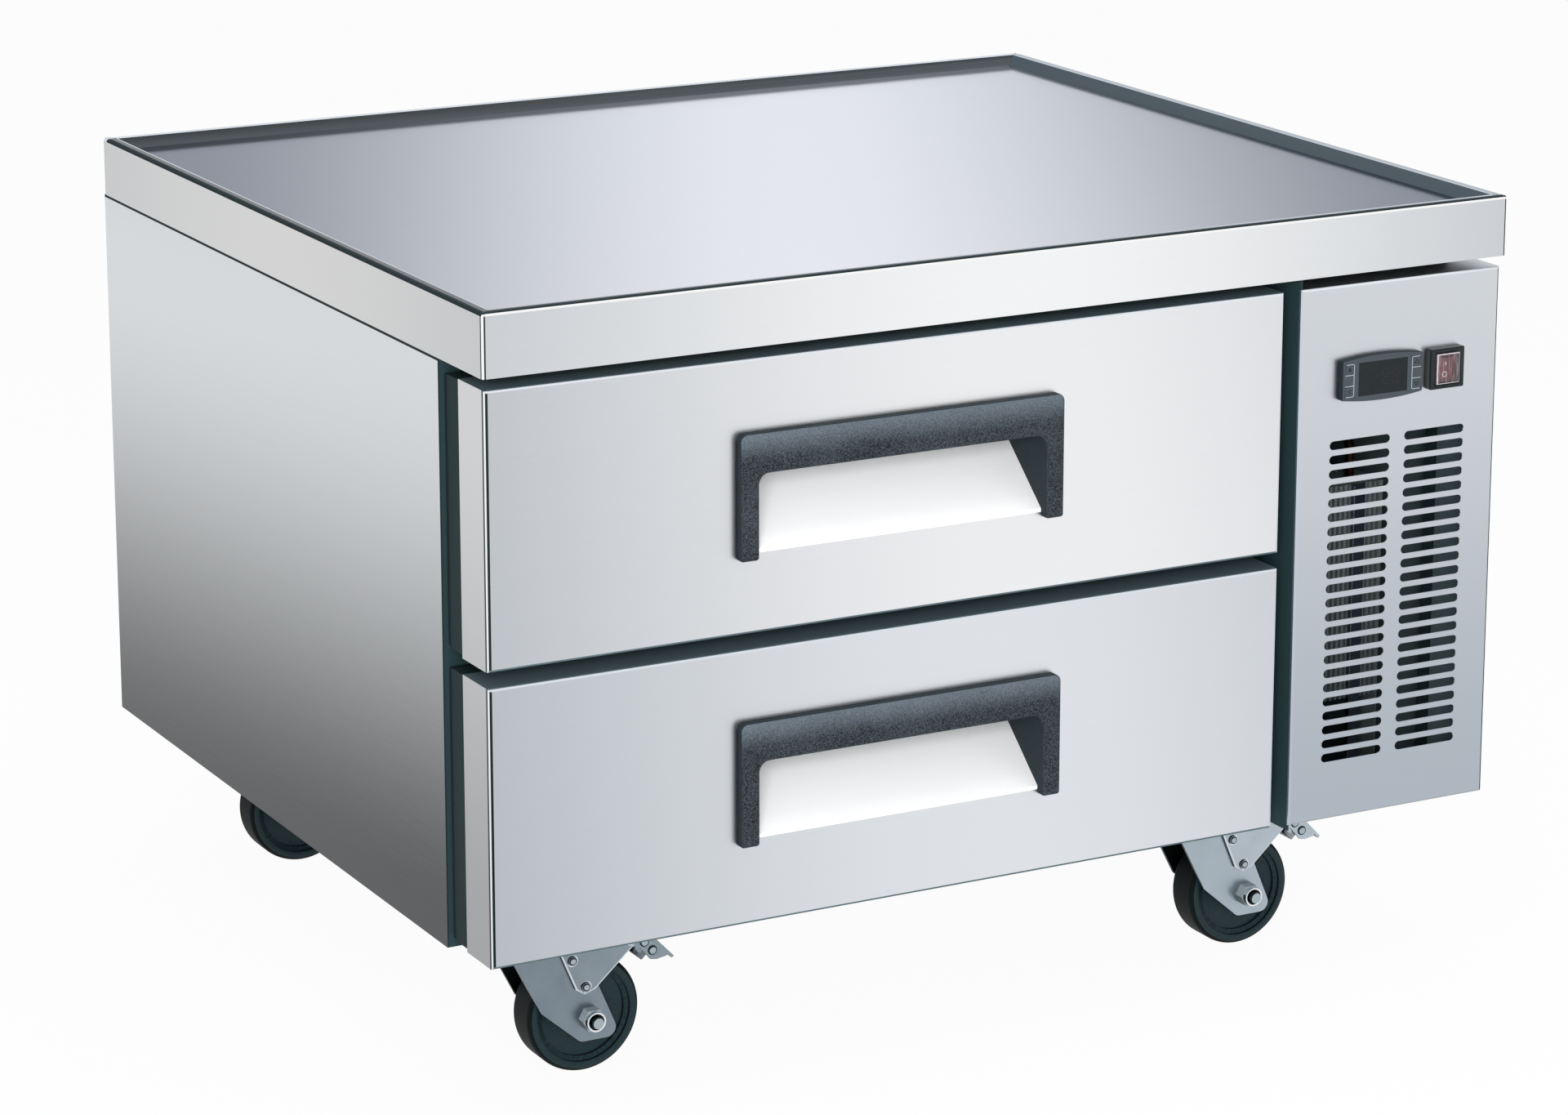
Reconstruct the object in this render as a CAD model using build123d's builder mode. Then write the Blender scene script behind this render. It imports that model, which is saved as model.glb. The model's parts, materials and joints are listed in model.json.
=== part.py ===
from build123d import *
from math import atan2, degrees
import os

os.makedirs("parts", exist_ok=True)

# Refrigerated chef base, in millimetres. The floor is z = 0, the front faces -Y
# and the origin is the middle of the footprint.

# Worktop: folded sheet with a raised marine edge
worktop_width = 924
worktop_depth = 784
overall_height = 648
fascia_height = 50
fascia_flange = 15
rim_width = 10
rim_slope_run = 12
rim_drop = 7.5
fold_radius = 2.5
corner_radius = 3
sheet = 1.2

# Clearances
cut = 5
fit_gap = 0.3
running_gap = 0.05
slide_gap = 0.5

# Cabinet shell and the cold cavity
skirt_drop = 4
face_setback = 80
caster_height = 135
base_sheet = 2
back_recess = 3
shell_flange = 18
left_wall = 44
right_wall = 62
back_wall = 46
floor_wall = 46
roof_wall = 30
frame_depth = 25
mullion_height = 38

# Drawer fronts
drawer_side_inset = 2
drawer_panel_gap = 17
drawer_top_gap = 9.4
drawer_gap = 12.7
drawer_floor_gap = 2.4
upper_front_share = 0.494
front_recess = 3
pan_depth = 45
pan_fold = 2
liner_inset = 1.5
liner_wall = 2.5
gasket_depth = 8
gasket_width = 10
gasket_inset = 1
gasket_edge = 2.5

# Drawer pull: a moulded hood over a sloping finger scoop
handle_width = 287
handle_height = 100
handle_proud = 9
handle_drop = 57
handle_bar = 32
handle_leg = 16
handle_outer_radius = 6
handle_inner_radius = 9
handle_edge = 2.5
pocket_sill = 7
pocket_slope_height = 49
pocket_depth = 56
pocket_roof = 10
pocket_wall = 3

# Drawer carrier for food pans, and its slides
carrier_drop = 20
carrier_floor_gap = 35.6
carrier_ledge = 14
carrier_back_gap = 43
carrier_bar = 22
slide_height = 45
slide_thickness = 16
slide_wall = 1.5
slide_setback = 5
slide_back_gap = 20
slide_lip = 9
slide_play = 1.5

# Louvred service panel over the machine compartment
panel_width = 195
panel_floor_gap = 1.3
panel_top_gap = 9.2
panel_side_inset = 4
panel_hem = 3
slot_length = 59.3
slot_height = 7.3
slot_pitch = 12.1
slot_margin = 31
slot_top = 133
slot_floor = 49
control_drop = 78.5

# Temperature controller
controller_width = 79
controller_height = 38.5
controller_side = 32.5
controller_proud = 7
controller_body_width = 70
controller_body_height = 28
controller_body_depth = 50
controller_edge = 1.2
controller_inset = 76.8
window_width = 48
window_height = 28
window_depth = 1.5
window_edge = 0.4
key_width = 7.6
key_height = 7.6
key_depth = 2
key_proud = 0.2
key_well = 3.2
key_clearance = 0.15
key_radius = 0.8
key_margin = 2.8
key_rise = 9.2

# Rocker switch with a clear splash cap
switch_inset = 140.6
switch_width = 33.5
switch_height = 34
switch_proud = 7.5
switch_edge = 1.2
switch_opening_width = 25
switch_opening_height = 28
switch_body_depth = 22
switch_floor = 3
rocker_width = 19.4
rocker_height = 20.2
rocker_depth = 9
rocker_crown = 1.5
rocker_tilt = 8
rocker_setback = 4
rocker_pin_radius = 1.5
cap_wall = 1
cap_proud = 1.5

# Condensing unit in the machine compartment
coil_width = 135
coil_depth = 44
coil_height = 188
coil_inset = 16
coil_setback = 100
coil_rise = 65
coil_plate = 1.5
coil_fin_pitch = 5
coil_fin_slot = 2.6
coil_fin_cut = 6
bend_radius = 11
tube_radius = 4
coil_rows = 4
shroud_depth = 28
shroud_wall = 1.5
fan_radius = 58
fan_tip_gap = 4
fan_setback = 4.5
fan_hub_radius = 17
blade_root_radius = 8.5
fan_hub_length = 16
fan_blade_count = 5
fan_blade_thickness = 1.6
fan_blade_pitch = 32
fan_blade_width = 30
motor_radius = 24
motor_length = 52
motor_edge = 3
motor_shaft_radius = 3
spider_bar = 8
spider_thickness = 3
compressor_radius = 70
compressor_height = 178
compressor_dome = 32
compressor_plate = 3
compressor_foot_reach = 62
mount_radius = 11
mount_bore = 5.5
mount_height = 18
stub_radius = 5
stub_height = 22
stub_reach = 34
relay_width = 52
relay_proud = 12
relay_rise = 24
relay_height = 62
drier_radius = 11
drier_edge = 5
drier_length = 96
drier_reach = 90
line_inset = 15
line_step = 40
line_bend = 18
tray_back_gap = 54
tray_length = 120
tray_width = 150
tray_height = 28
box_back_gap = 44
box_length = 140
box_depth = 64
box_height = 90
box_drop = 40
gland_radius = 10
gland_bore = 4.5
gland_length = 18
gland_back_gap = 32
gland_flange_radius = 14
gland_flange = 3

# Evaporator at the back of the cavity
evaporator_reach = 98
evaporator_inset = 38
evaporator_rise = 50
evaporator_roof_gap = 50
evaporator_coil_depth = 62
evaporator_coil_margin = 35
evaporator_coil_inset = 19
evaporator_coil_gap = 50
evaporator_fin_pitch = 10
evaporator_fin_slot = 5
evaporator_fan_radius = 70
evaporator_fan_inset = 120
intake_count = 9
intake_margin = 20
intake_height = 6
intake_pitch = 16
guard_bar = 2.4
guard_rings = 3
guard_bars = 3

# Casters
caster_left = 87
caster_right = 220
caster_front = 114
caster_rear = 96
caster_plate_length = 92
caster_plate_width = 60
caster_plate = 3.5
caster_plate_corner = 7.5
caster_hole_x = 72
caster_hole_y = 42
bolt_radius = 4
bolt_head_radius = 7.2
bolt_head = 5.3
kingpin_radius = 6
kingpin_head_radius = 10
kingpin_head = 4
race_radius = 24
race_height = 12.2
crown = 4
crown_radius = 27
crown_height = 70.5
caster_trail = 38
leg_thickness = 3
leg_shoulder = 15
leg_knee_radius = 4
leg_toe_radius = 8
wheel_radius = 48.5
wheel_width = 32
wheel_edge = 5
wheel_rim_radius = 40
wheel_rim_step = 3
wheel_web_radius = 36
wheel_recess = 6
hub_radius = 15
hub_length = 43
axle_radius = 6
nut_radius = 9.8
nut_thickness = 9
axle_end = 42
axle_head_end = 33
brake_plate = 2.5
brake_pin_radius = 3
pedal_cheek = 2
pedal_tread = 2.5
shoe_length = 12
shoe_thickness = 8
rivet_radius = 3.6
rivet_head = 1.6

# Screws in the back panel
screw_radius = 2
screw_head_radius = 4
screw_head = 2.4
screw_length = 9
screw_rows = 4
vent_columns = 2
vent_rows = 16

# Worked-out planes and places
half_width = worktop_width / 2
left_x = -half_width
right_x = half_width
front_y = -(worktop_depth - handle_proud + front_recess) / 2
back_y = front_y + worktop_depth
middle_y = (front_y + back_y) / 2
top_z = overall_height
tray_z = top_z - rim_drop
fascia_z = top_z - fascia_height
chassis_z = caster_height
skirt_z = chassis_z - skirt_drop
base_z = chassis_z + base_sheet
face_y = front_y + face_setback
drawer_y = front_y + front_recess
back_skin_y = back_y - back_recess
shell_back_y = back_skin_y - 2 * sheet

panel_x = (right_x - panel_side_inset - panel_width, right_x - panel_side_inset)
panel_z = (chassis_z + panel_floor_gap, fascia_z - panel_top_gap)
partition_x = panel_x[0] + sheet + fit_gap
machine_x = partition_x + sheet
control_z = panel_z[1] - control_drop
controller_x = panel_x[0] + controller_inset
switch_x = panel_x[0] + switch_inset
slot_columns = panel_width - 2 * slot_margin - slot_length

cavity_x = (left_x + left_wall, partition_x - right_wall)
cavity_y = (face_y + frame_depth, back_y - back_wall)
cavity_z = (chassis_z + floor_wall, fascia_z - roof_wall)

drawer_x = (left_x + drawer_side_inset, panel_x[0] - drawer_panel_gap)
drawer_middle_x = (drawer_x[0] + drawer_x[1]) / 2
upper_top = fascia_z - drawer_top_gap
lower_bottom = chassis_z + drawer_floor_gap
upper_height = upper_front_share * (upper_top - lower_bottom - drawer_gap)
upper_z = (upper_top - upper_height, upper_top)
lower_z = (lower_bottom, upper_z[0] - drawer_gap)
mullion_middle = (upper_z[0] + lower_z[1]) / 2
upper_opening = (mullion_middle + mullion_height / 2, cavity_z[1])
lower_opening = (cavity_z[0], mullion_middle - mullion_height / 2)
liner_back_y = face_y - fit_gap - gasket_depth


def block(x, y, z, mode=Mode.ADD):
    """A box between low and high places along each axis."""
    with Locations(((x[0] + x[1]) / 2, (y[0] + y[1]) / 2, (z[0] + z[1]) / 2)):
        return Box(x[1] - x[0], y[1] - y[0], z[1] - z[0], mode=mode)


def grown(span, amount):
    """A span widened by the same amount at both ends."""
    return (span[0] - amount, span[1] + amount)


def across(side, near, far):
    """A span along X given by distances from the middle plane, to the left (-1) or right (1)."""
    return tuple(sorted((side * near, side * far)))


def rod(radius, y, x, z, mode=Mode.ADD):
    """A cylinder along Y between two places."""
    with Locations(((x, (y[0] + y[1]) / 2, z))):
        return Cylinder(radius, y[1] - y[0], rotation=(90, 0, 0), mode=mode)


def post(radius, z, x, y, mode=Mode.ADD):
    """A cylinder along Z between two heights."""
    with Locations((x, y, (z[0] + z[1]) / 2)):
        return Cylinder(radius, z[1] - z[0], mode=mode)


def front_plane(y):
    """The plane facing the front at depth y, whose own axes are X and Z."""
    return Plane.XZ.offset(-y)


def side_plane(x):
    """The plane facing +X at x, whose own axes are Y and Z."""
    return Plane.YZ.offset(x)


def save(name, *pieces):
    """Write one node, with each piece as a solid of its own."""
    node = pieces[0] if len(pieces) == 1 else Compound(children=list(pieces))
    node.label = name
    export_step(node, f"parts/{name}.step")


# Worktop
with BuildPart() as worktop:
    block((left_x, right_x), (front_y, back_y), (fascia_z, top_z))
    fillet(worktop.edges().filter_by(Axis.Z), corner_radius)
    fillet(worktop.faces().sort_by(Axis.Z)[-1].edges(), fold_radius)
    inner_x = grown((left_x, right_x), -sheet)
    inner_y = grown((front_y, back_y), -sheet)
    block(inner_x, inner_y, (fascia_z + sheet, top_z - sheet), Mode.SUBTRACT)
    flange_x = grown((left_x, right_x), -fascia_flange)
    flange_y = grown((front_y, back_y), -fascia_flange)
    block(flange_x, flange_y, grown((fascia_z, fascia_z + sheet), cut), Mode.SUBTRACT)
    for grow, mode in ((sheet, Mode.ADD), (0, Mode.SUBTRACT)):
        for z, run in ((top_z, 0), (tray_z - grow, rim_slope_run)):
            inset = 2 * (rim_width + run - grow)
            with BuildSketch(Plane.XY.offset(z)):
                with Locations((0, middle_y)):
                    Rectangle(worktop_width - inset, worktop_depth - inset)
        loft(ruled=True, mode=mode)
save("worktop", worktop.part)

# Screw places in the back panel, over the flanges of the side panels
screw_x = half_width - shell_flange / 2
screw_spacing = (fascia_z - skirt_z) / screw_rows
screw_places = [
    (side * screw_x, skirt_z + (row + 1 / 2) * screw_spacing)
    for side in (-1, 1)
    for row in range(screw_rows)
]

# Side panels
for side, name in ((-1, "side_panel_left"), (1, "side_panel_right")):
    with BuildPart() as side_panel:
        block(across(side, half_width - sheet, half_width), (face_y, back_y), (skirt_z, fascia_z))
        flange = across(side, half_width - shell_flange, half_width)
        block(flange, (face_y + sheet, shell_back_y + sheet), (skirt_z, skirt_z + sheet))
        block(flange, (shell_back_y, shell_back_y + sheet), (skirt_z, fascia_z))
        if side > 0:
            block(flange, (face_y, face_y + sheet), (skirt_z, fascia_z))
        with BuildSketch(front_plane(shell_back_y)):
            with Locations(*[place for place in screw_places if place[0] * side > 0]):
                Circle(screw_radius + running_gap)
        extrude(amount=cut, both=True, mode=Mode.SUBTRACT)
    save(name, side_panel.part)

# Back panel with vents for the machine compartment
with BuildPart() as back_panel:
    inner_x = grown((left_x, right_x), -sheet)
    block(inner_x, (back_skin_y - sheet, back_skin_y), (skirt_z, fascia_z))
    vent_middle = (machine_x + right_x) / 2
    with BuildSketch(front_plane(back_skin_y)):
        with Locations(*screw_places):
            Circle(screw_radius + running_gap)
        with Locations((vent_middle, cavity_z[1] - slot_top)):
            with GridLocations(slot_columns, slot_pitch, vent_columns, vent_rows):
                SlotOverall(slot_length, slot_height)
    extrude(amount=cut, both=True, mode=Mode.SUBTRACT)
save("back_panel", back_panel.part)

# Caster places: the swivel axes
caster_places = {
    "front_left": (left_x + caster_left, front_y + caster_front),
    "front_right": (right_x - caster_right, front_y + caster_front),
    "rear_left": (left_x + caster_left, back_y - caster_rear),
    "rear_right": (right_x - caster_right, back_y - caster_rear),
}
gland_place = (vent_middle, back_y - gland_back_gap)

# Base pan
with BuildPart() as base_pan:
    block(inner_x, (face_y + sheet, shell_back_y), (chassis_z, base_z))
    with BuildSketch(Plane.XY.offset(chassis_z)):
        for place in caster_places.values():
            with Locations(place):
                with GridLocations(caster_hole_x, caster_hole_y, 2, 2):
                    Circle(bolt_radius + fit_gap)
        with Locations(gland_place):
            Circle(gland_radius + fit_gap)
    extrude(amount=cut, both=True, mode=Mode.SUBTRACT)
save("base_pan", base_pan.part)

# Front frame around the two drawer openings
opening_spans = (lower_opening, upper_opening)
with BuildPart() as front_frame:
    block((left_x + sheet, partition_x), (face_y, face_y + sheet), (skirt_z, fascia_z))
    for span in opening_spans:
        block(grown(cavity_x, sheet), (face_y, face_y + frame_depth), grown(span, sheet))
    for span in opening_spans:
        block(cavity_x, grown((face_y, face_y + frame_depth), cut), span, Mode.SUBTRACT)
save("front_frame", front_frame.part)

# Inner liner: a box open at the front
liner_y = (cavity_y[0], cavity_y[1] + sheet)
with BuildPart() as inner_liner:
    block(grown(cavity_x, sheet), liner_y, grown(cavity_z, sheet))
    block(cavity_x, (cavity_y[0] - cut, cavity_y[1]), cavity_z, Mode.SUBTRACT)
save("inner_liner", inner_liner.part)

# Foam insulation around the liner and under the worktop
foam_front = face_y + sheet
roof_x = (left_x + fascia_flange + fit_gap, partition_x)
with BuildPart() as insulation:
    block((left_x + sheet, partition_x), (foam_front, shell_back_y), (base_z, fascia_z))
    block(roof_x, (foam_front, back_y - fascia_flange - fit_gap), (fascia_z, tray_z - sheet))
    block(grown(cavity_x, sheet), (foam_front - cut, liner_y[1]), grown(cavity_z, sheet), Mode.SUBTRACT)
    with BuildSketch(front_plane(shell_back_y)):
        with Locations(*screw_places):
            Circle(screw_radius + fit_gap)
    extrude(amount=screw_length, mode=Mode.SUBTRACT)
save("insulation", insulation.part)

# Machine compartment wall, which runs forward to the service panel
with BuildPart() as partition:
    forward_y = (drawer_y + panel_hem + fit_gap, face_y + sheet)
    block((partition_x, machine_x), forward_y, (skirt_z, fascia_z))
    block((partition_x, machine_x), (face_y, shell_back_y), (base_z, fascia_z))
save("machine_partition", partition.part)

# Louvred service panel
panel_y = (drawer_y, face_y)
slot_room = panel_z[1] - panel_z[0] - slot_top - slot_floor
slot_count = int(slot_room / slot_pitch) + 1
slot_middle_z = panel_z[1] - slot_top - (slot_count - 1) * slot_pitch / 2
panel_middle_x = (panel_x[0] + panel_x[1]) / 2
with BuildPart() as louvre_panel:
    block(panel_x, panel_y, panel_z)
    fillet(louvre_panel.faces().sort_by(Axis.Y)[0].edges(), pan_fold)
    inside_y = (panel_y[0] + sheet, panel_y[1] + cut)
    block(grown(panel_x, -sheet), inside_y, grown(panel_z, -sheet), Mode.SUBTRACT)
    hem_x = (panel_x[0] - fit_gap, machine_x + fit_gap)
    block(hem_x, (panel_y[0] + panel_hem, panel_y[1] + cut), grown(panel_z, cut), Mode.SUBTRACT)
    with BuildSketch(front_plane(panel_y[0])):
        with Locations((panel_middle_x, slot_middle_z)):
            with GridLocations(slot_columns, slot_pitch, 2, slot_count):
                SlotOverall(slot_length, slot_height)
        with Locations((controller_x, control_z)):
            Rectangle(controller_body_width + 2 * fit_gap, controller_body_height + 2 * fit_gap)
        with Locations((switch_x, control_z)):
            Rectangle(switch_opening_width + 2 * fit_gap, switch_opening_height + 2 * fit_gap)
    extrude(amount=sheet + cut, both=True, mode=Mode.SUBTRACT)
save("louvre_panel", louvre_panel.part)


def pocket_outline(low, wall):
    """Side view of the finger pocket as (depth, height) points, its floor let down by low."""
    roof = handle_height - pocket_roof + wall
    depth = pocket_depth + wall
    floor_end = pocket_sill + pocket_slope_height * depth / pocket_depth - low
    return [(0, pocket_sill - low), (depth, floor_end), (depth, roof), (0, roof)]


def pocket_prism(points, width, sill_z, mode=Mode.ADD):
    """The side view drawn across the pull, centred on the drawer."""
    with BuildSketch(side_plane(drawer_middle_x - width / 2)) as outline:
        with BuildLine():
            Polyline(*[(drawer_y + depth, sill_z + height) for depth, height in points], close=True)
        make_face()
    extrude(outline.sketch, amount=width, mode=mode)


def drawer_front(span, sill_z):
    """Folded pan with the cut-out for the pull."""
    with BuildPart() as pan:
        block(drawer_x, (drawer_y, drawer_y + pan_depth), span)
        fillet(pan.faces().sort_by(Axis.Y)[0].edges(), pan_fold)
        inside_y = (drawer_y + sheet, drawer_y + pan_depth + cut)
        block(grown(drawer_x, -sheet), inside_y, grown(span, -sheet), Mode.SUBTRACT)
        half = handle_width / 2 - handle_leg + pocket_wall
        opening_x = (drawer_middle_x - half, drawer_middle_x + half)
        opening_top = sill_z + handle_height - pocket_roof + pocket_wall
        opening_z = (sill_z + pocket_sill - pocket_wall, opening_top)
        block(opening_x, grown((drawer_y, drawer_y + sheet), sheet), opening_z, Mode.SUBTRACT)
    return pan.part


def drawer_liner(span):
    """Moulded inner panel that closes the back of the pan."""
    with BuildPart() as liner:
        liner_x = grown(drawer_x, -liner_inset)
        liner_z = grown(span, -liner_inset)
        block(liner_x, (drawer_y + pan_depth, liner_back_y), liner_z)
        hollow_y = (drawer_y + pan_depth - cut, liner_back_y - liner_wall)
        block(grown(liner_x, -liner_wall), hollow_y, grown(liner_z, -liner_wall), Mode.SUBTRACT)
    return liner.part


def drawer_core(span, sill_z):
    """Foam that fills the pan and the inner panel around the pocket."""
    with BuildPart() as core:
        block(grown(drawer_x, -sheet), (drawer_y + sheet, drawer_y + pan_depth), grown(span, -sheet))
        inset = liner_inset + liner_wall
        behind_y = (drawer_y + pan_depth, liner_back_y - liner_wall)
        block(grown(drawer_x, -inset), behind_y, grown(span, -inset))
        width = handle_width - 2 * handle_leg + 2 * pocket_wall
        pocket_prism(pocket_outline(pocket_wall, pocket_wall), width, sill_z, Mode.SUBTRACT)
    return core.part


def drawer_gasket(span):
    """Ring seal on the back of the inner panel."""
    with BuildPart() as gasket:
        inset = liner_inset + gasket_inset
        ring_y = (liner_back_y, liner_back_y + gasket_depth)
        block(grown(drawer_x, -inset), ring_y, grown(span, -inset))
        hole = inset + gasket_width
        block(grown(drawer_x, -hole), grown(ring_y, cut), grown(span, -hole), Mode.SUBTRACT)
        fillet(gasket.faces().sort_by(Axis.Y)[-1].edges(), gasket_edge)
    return gasket.part


def handle_hood(sill_z):
    """Inverted U on the front, with cheeks, roof and back wall of the pocket behind it."""
    inner_width = handle_width - 2 * handle_leg
    with BuildPart() as hood:
        with BuildSketch(front_plane(drawer_y)) as outline:
            with Locations((drawer_middle_x, sill_z + handle_height / 2)):
                Rectangle(handle_width, handle_height)
            fillet(outline.vertices().group_by(Axis.Y)[-1], handle_outer_radius)
            with Locations((drawer_middle_x, sill_z + (handle_height - handle_bar) / 2)):
                Rectangle(inner_width, handle_height - handle_bar, mode=Mode.SUBTRACT)
            inner = outline.vertices().filter_by_position(
                Axis.X, drawer_middle_x - inner_width / 2, drawer_middle_x + inner_width / 2
            )
            fillet(inner.group_by(Axis.Y)[-1], handle_inner_radius)
            fillet(outline.vertices().group_by(Axis.Y)[0], handle_edge)
        extrude(amount=handle_proud)
        fillet(hood.faces().sort_by(Axis.Y)[0].edges(), handle_edge)
        pocket_prism(pocket_outline(pocket_wall, pocket_wall), inner_width + 2 * pocket_wall, sill_z)
        pocket_prism(pocket_outline(pocket_wall + cut, 0), inner_width, sill_z, Mode.SUBTRACT)
    return hood.part


def handle_scoop(sill_z):
    """Sloping floor of the finger pocket."""
    rise = pocket_sill + pocket_slope_height
    points = [
        (0, pocket_sill - pocket_wall),
        (0, pocket_sill),
        (pocket_depth, rise),
        (pocket_depth, rise - pocket_wall),
    ]
    with BuildPart() as scoop:
        pocket_prism(points, handle_width - 2 * handle_leg, sill_z)
    return scoop.part


# Evaporator cover's place, which the drawers' carriers stay clear of
cover_x = grown(cavity_x, -evaporator_inset)
cover_y = (cavity_y[1] - evaporator_reach, cavity_y[1])
cover_z = (cavity_z[0] + evaporator_rise, cavity_z[1] - evaporator_roof_gap)

carrier_x = (cavity_x[0] + slide_thickness, cavity_x[1] - slide_thickness)
carrier_y = (liner_back_y, cover_y[0] - carrier_back_gap)
carrier_height = lower_opening[1] - lower_opening[0] - carrier_drop - carrier_floor_gap
rail_width = sheet + carrier_ledge


def pan_carrier(opening):
    """Four channel rails and a cross bar, with ledges that food pans hang on."""
    z = (opening[1] - carrier_drop - carrier_height, opening[1] - carrier_drop)
    between_x = grown(carrier_x, -rail_width)
    rails = []
    for outside, side in ((carrier_x[0], 1), (carrier_x[1], -1)):
        with BuildPart() as rail:
            block(tuple(sorted((outside, outside + side * rail_width))), carrier_y, z)
            hollow = tuple(sorted((outside + side * sheet, outside + side * (rail_width + cut))))
            block(hollow, grown(carrier_y, cut), grown(z, -sheet), Mode.SUBTRACT)
        rails.append(rail.part)
    for outside, side in ((carrier_y[0], 1), (carrier_y[1], -1)):
        with BuildPart() as rail:
            block(between_x, tuple(sorted((outside, outside + side * rail_width))), z)
            hollow = tuple(sorted((outside + side * sheet, outside + side * (rail_width + cut))))
            block(grown(between_x, cut), hollow, grown(z, -sheet), Mode.SUBTRACT)
        rails.append(rail.part)
    middle = (carrier_y[0] + carrier_y[1]) / 2
    with BuildPart() as bar:
        block(between_x, grown((middle, middle), carrier_bar / 2), (z[1] - sheet, z[1]))
    return [*rails, bar.part]


def slide_channel(side, opening, y, offsets, reach, web_at_wall):
    """One folded member of a telescopic slide, opening away from its web."""
    z = opening[1] - carrier_drop - carrier_height / 2
    wall_x = cavity_x[0] if side < 0 else cavity_x[1]
    near, far = offsets
    span = tuple(sorted((wall_x - side * near, wall_x - side * far)))
    with BuildPart() as member:
        block(span, y, grown((z, z), reach))
        web = slide_wall if web_at_wall else -slide_wall
        open_from = near + web if web_at_wall else near - cut
        open_to = far + cut if web_at_wall else far + web
        hollow = tuple(sorted((wall_x - side * open_from, wall_x - side * open_to)))
        block(hollow, grown(y, cut), grown((z, z), reach - slide_wall), Mode.SUBTRACT)
    return member.part


slide_y = (face_y + slide_setback, carrier_y[1])
middle_slide_y = (slide_y[0] + slide_setback, slide_y[1] - slide_back_gap)
inner_slide_y = (liner_back_y + slide_setback, carrier_y[1] - slide_back_gap)
middle_reach = slide_height / 2 - slide_wall - slide_gap
inner_reach = middle_reach - slide_wall - slide_gap
middle_near = slide_wall + slide_gap
inner_near = middle_near + slide_wall + slide_play

cabinet_members = []
for level, span, opening in (("upper", upper_z, upper_opening), ("lower", lower_z, lower_opening)):
    sill_z = span[1] - handle_drop - handle_height
    save(f"drawer_front_{level}", drawer_front(span, sill_z))
    save(f"drawer_liner_{level}", drawer_liner(span), drawer_core(span, sill_z))
    save(f"drawer_gasket_{level}", drawer_gasket(span))
    save(f"handle_{level}", handle_hood(sill_z))
    save(f"handle_scoop_{level}", handle_scoop(sill_z))
    inner_members = []
    middle_members = []
    for side in (-1, 1):
        cabinet_members.append(
            slide_channel(side, opening, slide_y, (0, slide_lip), slide_height / 2, True)
        )
        middle_members.append(
            slide_channel(
                side, opening, middle_slide_y, (middle_near, middle_near + slide_lip), middle_reach, True
            )
        )
        inner_members.append(
            slide_channel(side, opening, inner_slide_y, (inner_near, slide_thickness), inner_reach, False)
        )
    save(f"pan_carrier_{level}", *pan_carrier(opening), *inner_members)
    save(f"slide_middle_{level}", *middle_members)
save("slide_cabinet_members", *cabinet_members)


# Temperature controller
face = drawer_y
bow = (controller_height - controller_side) / 2
half_bezel = controller_width / 2
key_x = half_bezel - key_margin - key_width / 2
key_places = {
    "key_defrost": (controller_x - key_x, control_z + key_rise),
    "key_set": (controller_x - key_x, control_z - key_rise),
    "key_up": (controller_x + key_x, control_z + key_rise),
    "key_down": (controller_x + key_x, control_z - key_rise),
}
with BuildPart() as controller:
    with BuildSketch(front_plane(face)):
        with BuildLine():
            left_bezel = controller_x - half_bezel
            right_bezel = controller_x + half_bezel
            high = control_z + controller_side / 2
            low = control_z - controller_side / 2
            ThreePointArc((left_bezel, high), (controller_x, high + bow), (right_bezel, high))
            Line((right_bezel, high), (right_bezel, low))
            ThreePointArc((right_bezel, low), (controller_x, low - bow), (left_bezel, low))
            Line((left_bezel, low), (left_bezel, high))
        make_face()
    extrude(amount=controller_proud)
    fillet(controller.faces().sort_by(Axis.Y)[0].edges(), controller_edge)
    fillet(controller.edges().filter_by(Axis.Y), controller_edge)
    body_x = grown((controller_x, controller_x), controller_body_width / 2)
    body_z = grown((control_z, control_z), controller_body_height / 2)
    block(body_x, (face, face + controller_body_depth), body_z)
    window_y = (face - controller_proud - cut, face - controller_proud + window_depth)
    window_x = grown((controller_x, controller_x), window_width / 2)
    window_z = grown((control_z, control_z), window_height / 2)
    block(window_x, window_y, window_z, Mode.SUBTRACT)
    well_y = (face - controller_proud - cut, face - controller_proud + key_well)
    for x, z in key_places.values():
        well_x = grown((x, x), key_width / 2 + key_clearance)
        block(well_x, well_y, grown((z, z), key_height / 2 + key_clearance), Mode.SUBTRACT)
save("controller_housing", controller.part)

with BuildPart() as window:
    block(window_x, (face - controller_proud, face - controller_proud + window_depth), window_z)
    fillet(window.faces().sort_by(Axis.Y)[0].edges(), window_edge)
save("controller_window", window.part)

for name, (x, z) in key_places.items():
    with BuildPart() as key:
        key_front = face - controller_proud - key_proud
        block(
            grown((x, x), key_width / 2),
            (key_front, key_front + key_depth),
            grown((z, z), key_height / 2),
        )
        fillet(key.edges().filter_by(Axis.Y), key_radius)
        fillet(key.faces().sort_by(Axis.Y)[0].edges(), key_proud)
    save(name, key.part)

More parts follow.
